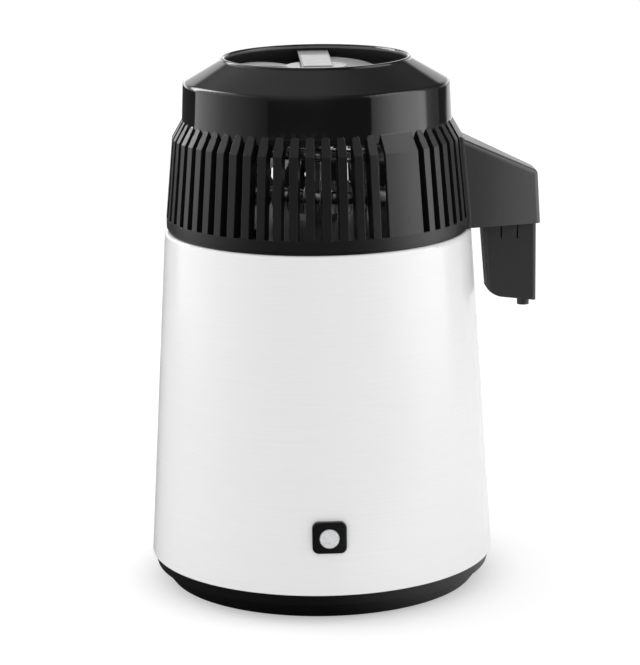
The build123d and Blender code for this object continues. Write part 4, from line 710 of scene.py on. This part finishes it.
def screws(name, node, body, towards_head, head_height, material):
    """Real screws in place of a node's plain ones."""
    bm = bmesh.new()
    out = Vector(towards_head).normalized()
    for corners in solids_of(node):
        low = Vector([min(c[k] for c in corners) for k in range(3)])
        high = Vector([max(c[k] for c in corners) for k in range(3)])
        middle = (low + high) / 2
        reach = [corner.dot(out) for corner in corners]
        head_top = middle + out * (max(reach) - middle.dot(out))
        tip = middle + out * (min(reach) - middle.dot(out))
        pan_head_screw(bm, head_top, tip, head_height)
    obj = mesh_object(name, bm, material)
    obj.data.set_sharp_from_angle(angle=SHARP_METAL)
    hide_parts(node)
    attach(obj, body)
    return obj


def pillow(name, node, body, lean, material):
    """Filled cloth bag, crowned between welded edges that pull in between its corners."""
    low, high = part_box(node)
    middle = (low + high) / 2
    size = high - low
    half_w = (size.x - abs(math.sin(lean)) * size.y) / 2
    half_h = size.z / 2
    half_t = (size.y - abs(math.sin(lean)) * size.x) / 2
    turn = Matrix.Translation(middle) @ Matrix.Rotation(lean, 4, "Z")
    steps = 56
    weld, pull = 0.07, 0.045            # shares of a half side
    weld_half, fullness = 0.00012, 0.90
    crown_power, crown_round = 2.6, 0.42
    lumps_per_metre, lump_height, other_side = 330.0, 0.00032, 0.01
    sag_share = 0.10
    crease_height, crease_rate, crease_start, crease_gain = 0.0003, 26.0, 0.55, 6.0

    def swell(u, v):
        inner_u = max(0.0, 1.0 - (abs(u) / (1.0 - weld)) ** crown_power)
        inner_v = max(0.0, 1.0 - (abs(v) / (1.0 - weld)) ** crown_power)
        return (inner_u * inner_v) ** crown_round

    def point(u, v, side):
        x = half_w * u * (1.0 - pull * (1.0 - v * v))
        z = half_h * v * (1.0 - pull * (1.0 - u * u))
        full = swell(u, v)
        lumps = noise_at(Vector((x, side * other_side, z)) * lumps_per_metre) * lump_height * full
        sag = sag_share * half_t * full * (0.5 - 0.5 * v)
        creased = max(0.0, v - crease_start) * (1.0 - abs(v)) * crease_gain
        crease = crease_height * math.sin(crease_rate * u) * creased
        depth = weld_half + fullness * half_t * full + sag + lumps + crease * full
        return turn @ Vector((x, side * depth, z))

    def sheet(side):
        return [[bm.verts.new(point(-1 + 2 * i / steps, -1 + 2 * j / steps, side)) for i in range(steps + 1)]
                for j in range(steps + 1)]

    bm = bmesh.new()
    closed_sheets(bm, sheet(-1), sheet(1))
    obj = mesh_object(name, bm, material)
    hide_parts(node)
    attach(obj, body)
    return obj


def fan_hub(bm, settings, foot):
    """Cup with a bored floor, open at the top, all its edges softly rounded."""
    outer, bore = settings.hub_radius, settings.bore_radius
    rim, floor = foot + HUB_HEIGHT, foot + HUB_FLOOR
    inner, soft, around = outer - HUB_WALL, 0.0008, 96
    profile = (
        (bore, foot), (outer - 2 * soft, foot), (outer - 0.6 * soft, foot + 0.4 * soft),
        (outer, foot + 2 * soft), (outer, rim - soft), (outer - 0.5 * soft, rim),
        (inner + 0.3 * soft, rim), (inner, rim - 0.5 * soft), (inner, floor),
        (2 * bore, floor), (bore, floor),
    )
    turns = [2 * math.pi * i / around for i in range(around)]
    rings = [[bm.verts.new((radius * math.cos(turn), radius * math.sin(turn), level)) for turn in turns]
             for radius, level in profile]
    for near, far in zip(rings, rings[1:] + rings[:1]):
        band(bm, near, far)


def fan_blade(bm, settings, start, tip_radius, crest):
    """Cambered blade from inside the hub's wall to its tip, whose corners are cut back."""
    root_radius = settings.hub_radius - 0.5 * HUB_WALL
    span_steps, chord_steps = 22, 26
    root_arc, forward_sweep, sweep_power = 0.80, 0.10, 1.5      # shares of the blade's arc
    tip_zone, tip_cut = 0.06, 0.10                              # shares of the span and of the arc
    root_fall, twist = 0.0006, 0.25
    edge_thinning, edge_power, tip_thinning = 0.55, 4, 0.25

    def point(share, chord, side):
        radius = root_radius + (tip_radius - root_radius) * share
        arc = settings.blade_arc * (root_arc + (1.0 - root_arc) * share)
        lead = forward_sweep * settings.blade_arc * share ** sweep_power
        into_tip = max(0.0, (share - (1.0 - tip_zone)) / tip_zone)
        turn = start + lead + arc * (0.5 - chord) * (1.0 - tip_cut * into_tip ** 2)
        drop = settings.blade_drop * (0.15 * chord + 0.85 * chord ** 3) * (1.0 - twist + twist * share)
        thickness = BLADE_THICKNESS * (1.0 - edge_thinning * abs(2 * chord - 1.0) ** edge_power)
        swell = 0.5 * thickness * (1.0 - tip_thinning * share)
        level = crest - drop - root_fall * (1.0 - share) + side * swell
        return radius * math.cos(turn), radius * math.sin(turn), level

    def face(side):
        return [[bm.verts.new(point(a / span_steps, b / chord_steps, side)) for b in range(chord_steps + 1)]
                for a in range(span_steps + 1)]

    closed_sheets(bm, face(1), face(-1))


def moulded_fan(name, node, body, settings, material):
    """Cup-shaped hub with cambered blades whose leading edges sweep forward."""
    low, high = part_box(node)
    bm = bmesh.new()
    fan_hub(bm, settings, low.z)
    crest = high.z - 0.5 * BLADE_THICKNESS - FAN_CLEARANCE
    for index in range(settings.blades):
        start = settings.blade_turn + 2 * math.pi * index / settings.blades
        fan_blade(bm, settings, start, high.x - FAN_CLEARANCE, crest)
    obj = mesh_object(name, bm, material)
    obj.data.set_sharp_from_angle(angle=SHARP_PLASTIC)
    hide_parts(node)
    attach(obj, body)
    return obj


def wound_spring(name, node, body, settings, material):
    """Wire coil wound about Y, as long as the box of the spring's node."""
    low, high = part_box(node)
    middle = (low + high) / 2
    wire = settings.spring_wire
    coil_radius = (high.x - low.x) / 2 - wire
    whole_turn = 2 * math.pi * settings.spring_turns
    rise = (high.y - low.y - 2 * wire) / whole_turn
    around, steps = 14, int(36 * settings.spring_turns)
    leans = [2 * math.pi * i / around for i in range(around)]
    bm = bmesh.new()
    rings = []
    for k in range(steps + 1):
        turn = whole_turn * k / steps
        out = Vector((math.cos(turn), 0.0, -math.sin(turn)))
        along = Vector((-coil_radius * math.sin(turn), rise, -coil_radius * math.cos(turn))).normalized()
        side = along.cross(out)
        centre = Vector((middle.x, low.y + wire + rise * turn, middle.z)) + out * coil_radius
        rings.append([bm.verts.new(centre + (out * math.cos(lean) + side * math.sin(lean)) * wire)
                      for lean in leans])
    skin_rings(bm, rings)
    obj = mesh_object(name, bm, material)
    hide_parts(node)
    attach(obj, body)
    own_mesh(obj)
    return obj


def settings_of(context):
    return context.scene.distiller


# ---------------------------------------------------------------- operators
class DISTILLER_OT_cover(bpy.types.Operator):
    """Polished dome with satin ribs and band"""
    bl_idname = "distiller.cover"
    bl_label = "Head Cover"

    def execute(self, context):
        dress(cover_plastic(settings_of(context).cover), "head_cover")
        return {"FINISHED"}


class DISTILLER_OT_spout(bpy.types.Operator):
    """Satin spout, the seals of outlet tube and head, and the gland of the fan's lead"""
    bl_idname = "distiller.spout"
    bl_label = "Spout"

    def execute(self, context):
        trim = settings_of(context).trim
        dress(spout_plastic(trim.spout), "spout_housing")
        dress(moulded_plastic("gland_nylon", shade(trim.cup, 0.8), 0.4), "fan_lead_gland")
        dress(soft_rubber("seal_silicone", (0.62, 0.62, 0.60), 0.45), "outlet_grommet", "head_gasket")
        return {"FINISHED"}


class DISTILLER_OT_filter_cup(bpy.types.Operator):
    """Filter cup with its strainer and the bag of carbon"""
    bl_idname = "distiller.filter_cup"
    bl_label = "Filter Cup"

    def execute(self, context):
        trim = settings_of(context).trim
        dress(moulded_plastic("cup_plastic", trim.cup, 0.44, grain=0.0006, depth=0.00004),
              "filter_cup", "cup_strainer")
        pillow("carbon_pillow", "carbon_bag", "filter_cup", CUP_LEAN, carbon_cloth())
        return {"FINISHED"}


class DISTILLER_OT_casing(bpy.types.Operator):
    """White enamelled casing"""
    bl_idname = "distiller.casing"
    bl_label = "Casing"

    def execute(self, context):
        dress(casing_enamel(settings_of(context).casing), "body_shell")
        return {"FINISHED"}


class DISTILLER_OT_base(bpy.types.Operator):
    """Textured base moulding, its rubber foot and the hatch"""
    bl_idname = "distiller.base"
    bl_label = "Base"

    def execute(self, context):
        trim = settings_of(context).trim
        dress(moulded_plastic("base_plastic", trim.base, 0.42, grain=0.0007, depth=0.00006), "base_moulding")
        dress(soft_rubber("foot_rubber", (0.014, 0.014, 0.014)), "foot_ring")
        hatch_steel = plain_metal("hatch_steel", (0.52, 0.53, 0.54), 0.34)
        dress(hatch_steel, "bottom_plate")
        screws("hatch_screws", "bottom_screws", "base", DOWN, LOW_HEAD, hatch_steel)
        return {"FINISHED"}


class DISTILLER_OT_reset(bpy.types.Operator):
    """Reset button, its surround, spring, clip and switch"""
    bl_idname = "distiller.reset"
    bl_label = "Reset Button"

    def execute(self, context):
        trim = settings_of(context).trim
        dress(moulded_plastic("bezel_plastic", trim.base, 0.16, grain=0.0009, depth=0.000006, edge=0.0004),
              "reset_bezel")
        dress(moulded_plastic("button_plastic", trim.button, 0.2, grain=0.0009, depth=0.000004, edge=0.0003),
              "reset_button")
        dress(moulded_plastic("switch_plastic", (0.03, 0.03, 0.03), 0.5), "reset_switch")
        steel = plain_metal("spring_steel", (0.6, 0.6, 0.6), 0.22)
        dress(steel, "bezel_clip")
        wound_spring("button_spring", "reset_spring", "base", settings_of(context).button, steel)
        return {"FINISHED"}


class DISTILLER_OT_sockets(bpy.types.Operator):
    """Rear panel with the mains inlet and the fan's outlet"""
    bl_idname = "distiller.sockets"
    bl_label = "Sockets"

    def execute(self, context):
        trim = settings_of(context).trim
        dress(moulded_plastic("panel_plastic", trim.base, 0.4), "socket_panel")
        dress(moulded_plastic("socket_plastic", shade(trim.base, 1.3), 0.3, grain=0.0009, depth=0.00001),
              "mains_inlet", "fan_outlet")
        dress(plain_metal("contact_brass", (0.80, 0.62, 0.32), 0.2), "mains_pins", "outlet_contacts",
              "element_terminals", "switch_terminals")
        screws("panel_screws", "socket_screws", "base", BACK, PAN_HEAD,
               plain_metal("screw_zinc", (0.62, 0.63, 0.64), 0.26))
        return {"FINISHED"}


class DISTILLER_OT_pot(bpy.types.Operator):
    """Spun stainless boiling pot and the studs that hold it"""
    bl_idname = "distiller.pot"
    bl_label = "Boiling Pot"

    def execute(self, context):
        trim = settings_of(context).trim
        dress(turned_steel("pot_steel", trim.steel), "boiler_pot", "splash_baffle")
        dress(turned_steel("shield_steel", trim.steel, 0.3), "heat_shield")
        dress(plain_metal("stud_zinc", (0.60, 0.61, 0.62), 0.3), "pot_studs", "stud_spacers", "stud_nuts")
        return {"FINISHED"}


class DISTILLER_OT_heater(bpy.types.Operator):
    """Heater plate, tubular element, thermostat and wiring under the pot"""
    bl_idname = "distiller.heater"
    bl_label = "Heater"

    def execute(self, context):
        dress(plain_metal("cast_plate", (0.72, 0.73, 0.74), 0.42, grain=0.0012, depth=0.00003),
              "heater_plate")
        dress(plain_metal("element_steel", (0.30, 0.27, 0.25), 0.4, grain=0.0009, depth=0.00002, tarnish=0.6),
              "heating_element")
        dress(plain_metal("thermostat_can", (0.66, 0.66, 0.64), 0.28), "boil_dry_thermostat")
        dress(plain_metal("bracket_zinc", (0.60, 0.61, 0.62), 0.3), "thermostat_bracket", "bracket_nuts")
        dress(soft_rubber("wire_insulation", (0.66, 0.64, 0.58), 0.4), "base_wiring")
        return {"FINISHED"}


class DISTILLER_OT_condenser(bpy.types.Operator):
    """Finned coil with its tubes, sleeves, straps, steam port and plate, and the screws into the cover"""
    bl_idname = "distiller.condenser"
    bl_label = "Condenser"

    def execute(self, context):
        steel = settings_of(context).trim.steel
        dress(drawn_tube("bright_tube", shade(steel, 0.9)), "condenser_coil", "steam_riser", "outlet_tube")
        # Painted shade: the aluminium fins get a darker grey than bare aluminium, for the dim inside of the
        # head.
        dress(drawn_tube("fin_aluminium", (0.46, 0.47, 0.48)), "condenser_fins")
        # Painted shade: the stainless plate is darkened to near black, for the dim inside of the head.
        dress(turned_steel("shade_darkened_plate_steel", shade(steel, 0.2), 0.45), "head_base_plate")
        # Painted shade: the sleeves, straps, port and screws inside the head are darkened steel, for the
        # head's dim inside.
        shade_darkened_sleeve_steel = plain_metal("shade_darkened_sleeve_steel", (0.30, 0.30, 0.30), 0.34)
        dress(shade_darkened_sleeve_steel, "tube_couplings", "coil_brackets", "steam_port", "port_nut")
        screws("plate_screws", "head_screws", "head", DOWN, PAN_HEAD, shade_darkened_sleeve_steel)
        screws("spout_fixing_screws", "spout_screws", "head", SPOUT_INWARD, PAN_HEAD, shade_darkened_sleeve_steel)
        return {"FINISHED"}


class DISTILLER_OT_fan(bpy.types.Operator):
    """Fan and motor under the bar across the intake"""
    bl_idname = "distiller.fan"
    bl_label = "Fan"

    def execute(self, context):
        trim = settings_of(context).trim
        moulded_fan("moulded_fan", "fan_blades", "fan", settings_of(context).fan, fan_plastic(trim.fan))
        dress(moulded_plastic("bar_plastic", shade(trim.base, 1.2), 0.3), "motor_bridge")
        dress(label_film(trim.label), "label_plate")
        dress(wound_copper(), "stator_winding")
        dress(plain_metal("motor_steel", (0.30, 0.30, 0.305), 0.3),
              "motor_base", "motor_bearings", "stator_core", "fan_shaft", "shaft_clip")
        screws("bar_screws", "bridge_screws", "head", DOWN, PAN_HEAD,
               plain_metal("bar_screw_zinc", (0.50, 0.50, 0.51), 0.3))
        dress(plain_metal("rotor_magnet", (0.16, 0.16, 0.17), 0.5), "rotor_ring")
        return {"FINISHED"}


class DISTILLER_OT_stage(bpy.types.Operator):
    """Pale floor, two tall light panels, even fill and the camera"""
    bl_idname = "distiller.stage"
    bl_label = "Studio"

    def execute(self, context):
        stage = settings_of(context).stage
        pale_floor(stage)
        turn = Matrix.Rotation(stage.camera_turn, 4, "Z")
        light_panel("panel_left", turn, -PANEL_OFFSET, LEFT_PANEL_STEPS, stage.left_panel, LEFT_SPILL)
        light_panel("panel_right", turn, PANEL_OFFSET, RIGHT_PANEL_STEPS, stage.right_panel, RIGHT_SPILL)
        studio_world(stage)
        studio_camera(stage)
        context.scene.view_settings.view_transform = "Standard"
        return {"FINISHED"}


def pale_floor(stage):
    """Round floor that looks pale to the eye, keeps the shadow and bounces less light than it seems to."""
    matt_bounce, dim_gloss, card_gloss = grey(0.92), grey(0.06), grey(0.95)
    bm = bmesh.new()
    bmesh.ops.create_circle(bm, cap_ends=True, segments=128, radius=stage.floor_radius)
    material = new_material("studio_floor")
    tree = material.node_tree
    grain = noise(tree, place(tree), 6.0, 2.0)
    seen = tree.nodes.new("ShaderNodeBsdfDiffuse")
    tone = blended(tree, spread(tree, grain, 0.0, 1.0), shade(stage.floor, 0.997), stage.floor)
    tree.links.new(tone, seen.inputs["Color"])
    lift = tree.nodes.new("ShaderNodeEmission")
    lift.inputs["Strength"].default_value = stage.floor_glow
    both = tree.nodes.new("ShaderNodeAddShader")
    tree.links.new(seen.outputs[0], both.inputs[0])
    tree.links.new(lift.outputs[0], both.inputs[1])
    path = tree.nodes.new("ShaderNodeLightPath")
    bounced = tree.nodes.new("ShaderNodeBsdfDiffuse")
    gloss = blended(tree, bounce_card(tree, stage), dim_gloss, card_gloss)
    tree.links.new(blended(tree, path.outputs["Is Glossy Ray"], matt_bounce, gloss), bounced.inputs["Color"])
    mix = tree.nodes.new("ShaderNodeMixShader")
    tree.links.new(path.outputs["Is Camera Ray"], mix.inputs[0])
    tree.links.new(bounced.outputs[0], mix.inputs[1])
    tree.links.new(both.outputs[0], mix.inputs[2])
    shown(tree, mix.outputs[0])
    mesh_object("studio_floor", bm, material, smooth=False)


def bounce_card(tree, stage):
    """1 over a patch of floor beside the distiller's right, 0 elsewhere."""
    turn = Matrix.Rotation(stage.camera_turn, 3, "Z")
    where = place(tree)
    rightward = across(tree, where, turn @ RIGHTWARD)
    start = smooth_range(tree, rightward, 0.0, 0.11, 0.0, 1.0)
    near = smooth_range(tree, across(tree, where, turn @ REARWARD), -0.45, -0.25, 0.0, 1.0)
    end = smooth_range(tree, rightward, 1.2, 1.7, 1.0, 0.0)
    return product(tree, start, near, end)


def light_panel(name, turn, side, steps, strength, spill):
    """Tall panel beside the distiller, mirrored by glossy pieces at its full strength.

    Each step is a depth behind the axis and its share of the strength. Spill is the share for matt surfaces.
    """
    far, near = steps[-1][0], steps[0][0]
    bm = bmesh.new()
    corners = ((far, PANEL_FOOT), (near, PANEL_FOOT), (near, PANEL_TOP), (far, PANEL_TOP))
    bm.faces.new([bm.verts.new(turn @ Vector((side, y, z))) for y, z in corners])
    material = new_material(name)
    tree = material.node_tree
    depth = tree.nodes.new("ShaderNodeMapRange")
    depth.inputs["From Min"].default_value = near
    depth.inputs["From Max"].default_value = far
    tree.links.new(across(tree, place(tree), turn @ REARWARD), depth.inputs["Value"])
    ramp = tree.nodes.new("ShaderNodeValToRGB")
    ramp.color_ramp.interpolation = "B_SPLINE"
    stops = ramp.color_ramp.elements
    for index, (y, share) in enumerate(steps):
        spot = (y - near) / (far - near)
        stop = stops[index] if index < STOPS_IN_NEW_RAMP else stops.new(spot)
        stop.position = spot
        stop.color = (*grey(share), 1.0)
    tree.links.new(depth.outputs[0], ramp.inputs["Fac"])
    gain = tree.nodes.new("ShaderNodeMapRange")
    gain.inputs["To Min"].default_value = strength * spill
    gain.inputs["To Max"].default_value = strength
    tree.links.new(tree.nodes.new("ShaderNodeLightPath").outputs["Is Glossy Ray"], gain.inputs["Value"])
    glow = tree.nodes.new("ShaderNodeEmission")
    tree.links.new(product(tree, ramp.outputs["Color"], gain.outputs[0]), glow.inputs["Strength"])
    shown(tree, glow.outputs[0])
    panel = mesh_object(name, bm, material, smooth=False)
    panel.visible_camera = False
    panel.visible_shadow = False


def room_gloss(tree, turn):
    """What glossy pieces mirror of the room, all of it by direction."""
    direction = tree.nodes.new("ShaderNodeTexCoord").outputs["Generated"]
    height = parts_of(tree, direction)[2]
    depth = across(tree, direction, turn @ REARWARD)
    rightward = across(tree, direction, turn @ RIGHTWARD)
    near_floor = product(tree, smooth_range(tree, depth, 0.55, 0.95, 0.0, 1.0),
                         smooth_range(tree, height, 0.10, 0.15, 1.0, 0.0))
    back_wall = product(tree, smooth_range(tree, depth, 0.78, 0.90, 0.0, 1.1),
                        smooth_range(tree, height, 0.33, 0.40, 1.0, 0.0))
    towards_window = across(tree, direction, turn @ Vector((-0.78, 0.44, 0.44)))
    window = smooth_range(tree, towards_window, 0.875, 0.975, 0.0, 9.5)
    lamp_strip = product(tree, smooth_range(tree, height, 0.28, 0.36, 0.0, 3.0),
                         smooth_range(tree, height, 0.78, 0.85, 1.0, 0.0),
                         smooth_range(tree, math_node(tree, "ABSOLUTE", rightward), 0.12, 0.20, 1.0, 0.0),
                         math_node(tree, "GREATER_THAN", depth, 0.0))
    ceiling = product(tree, smooth_range(tree, height, 0.36, 0.60, 0.30, 0.54),
                      smooth_range(tree, rightward, -0.02, 0.34, 1.0, 0.38))
    return total(tree, near_floor, back_wall, window, lamp_strip, ceiling)


def studio_world(stage):
    """White to the eye, even fill on matt surfaces, and a dim room mirrored in the gloss."""
    world = bpy.data.worlds.new("studio_room")
    bpy.context.scene.world = world
    world.use_nodes = True
    tree = world.node_tree
    tree.nodes.clear()
    gloss = room_gloss(tree, Matrix.Rotation(stage.camera_turn, 3, "Z"))
    path = tree.nodes.new("ShaderNodeLightPath").outputs
    eye = math_node(tree, "MAXIMUM", path["Is Camera Ray"], path["Is Transmission Ray"])
    matt = math_node(tree, "SUBTRACT", 1.0, path["Is Glossy Ray"])
    strength = total(tree, product(tree, path["Is Glossy Ray"], gloss), product(tree, matt, stage.fill))
    rest = product(tree, math_node(tree, "SUBTRACT", 1.0, eye), strength)
    background = tree.nodes.new("ShaderNodeBackground")
    tree.links.new(total(tree, eye, rest), background.inputs["Strength"])
    shown(tree, background.outputs[0], "ShaderNodeOutputWorld")


def studio_camera(stage):
    """Camera that looks a little down on the distiller from in front."""
    data = bpy.data.cameras.new("studio_camera")
    data.lens = stage.focal_length
    data.sensor_width = SENSOR_WIDTH_MM
    data.clip_end = 100.0
    camera = bpy.data.objects.new("studio_camera", data)
    bpy.context.scene.collection.objects.link(camera)
    turn = Matrix.Rotation(stage.camera_turn, 4, "Z")
    spot = turn @ Vector((CAMERA_ASIDE, -stage.camera_distance, stage.camera_height))
    tilt = Matrix.Rotation(math.pi / 2 - stage.camera_tilt, 4, "X")
    roll = Matrix.Rotation(-stage.camera_roll, 4, "Z")
    camera.matrix_world = Matrix.Translation(spot) @ turn @ tilt @ roll
    bpy.context.scene.camera = camera


# ---------------------------------------------------------------- panel and registration
PIECE_OPERATORS = (
    DISTILLER_OT_cover, DISTILLER_OT_spout, DISTILLER_OT_filter_cup, DISTILLER_OT_casing, DISTILLER_OT_base,
    DISTILLER_OT_reset, DISTILLER_OT_sockets, DISTILLER_OT_pot, DISTILLER_OT_heater, DISTILLER_OT_condenser,
    DISTILLER_OT_fan, DISTILLER_OT_stage,
)


class DistillerSettings(bpy.types.PropertyGroup):
    """Everything that can be changed on the distiller and its stage"""
    cover: PointerProperty(type=CoverSettings)
    casing: PointerProperty(type=CasingSettings)
    trim: PointerProperty(type=TrimSettings)
    fan: PointerProperty(type=FanSettings)
    button: PointerProperty(type=ButtonSettings)
    stage: PointerProperty(type=StageSettings)


class VIEW3D_PT_distiller(bpy.types.Panel):
    """Lists the distiller's pieces in the sidebar"""
    bl_label = "Distiller"
    bl_idname = "VIEW3D_PT_distiller"
    bl_space_type = "VIEW_3D"
    bl_region_type = "UI"
    bl_category = "Distiller"

    def draw(self, context):
        layout = self.layout
        settings = settings_of(context)
        for piece in settings.__annotations__:
            group = getattr(settings, piece)
            box = layout.box()
            for name in group.__annotations__:
                box.prop(group, name)
        for operator in PIECE_OPERATORS:
            layout.operator(operator.bl_idname)


SETTINGS_GROUPS = (CoverSettings, CasingSettings, TrimSettings, FanSettings, ButtonSettings, StageSettings,
                   DistillerSettings)
CLASSES = SETTINGS_GROUPS + PIECE_OPERATORS + (VIEW3D_PT_distiller,)


def register():
    for cls in CLASSES:
        bpy.utils.register_class(cls)
    bpy.types.Scene.distiller = PointerProperty(type=DistillerSettings)


def unregister():
    del bpy.types.Scene.distiller
    for cls in reversed(CLASSES):
        bpy.utils.unregister_class(cls)


def main():
    register()
    for operator in PIECE_OPERATORS:
        group, name = operator.bl_idname.split(".")
        getattr(getattr(bpy.ops, group), name)()


if __name__ == "__main__":
    main()
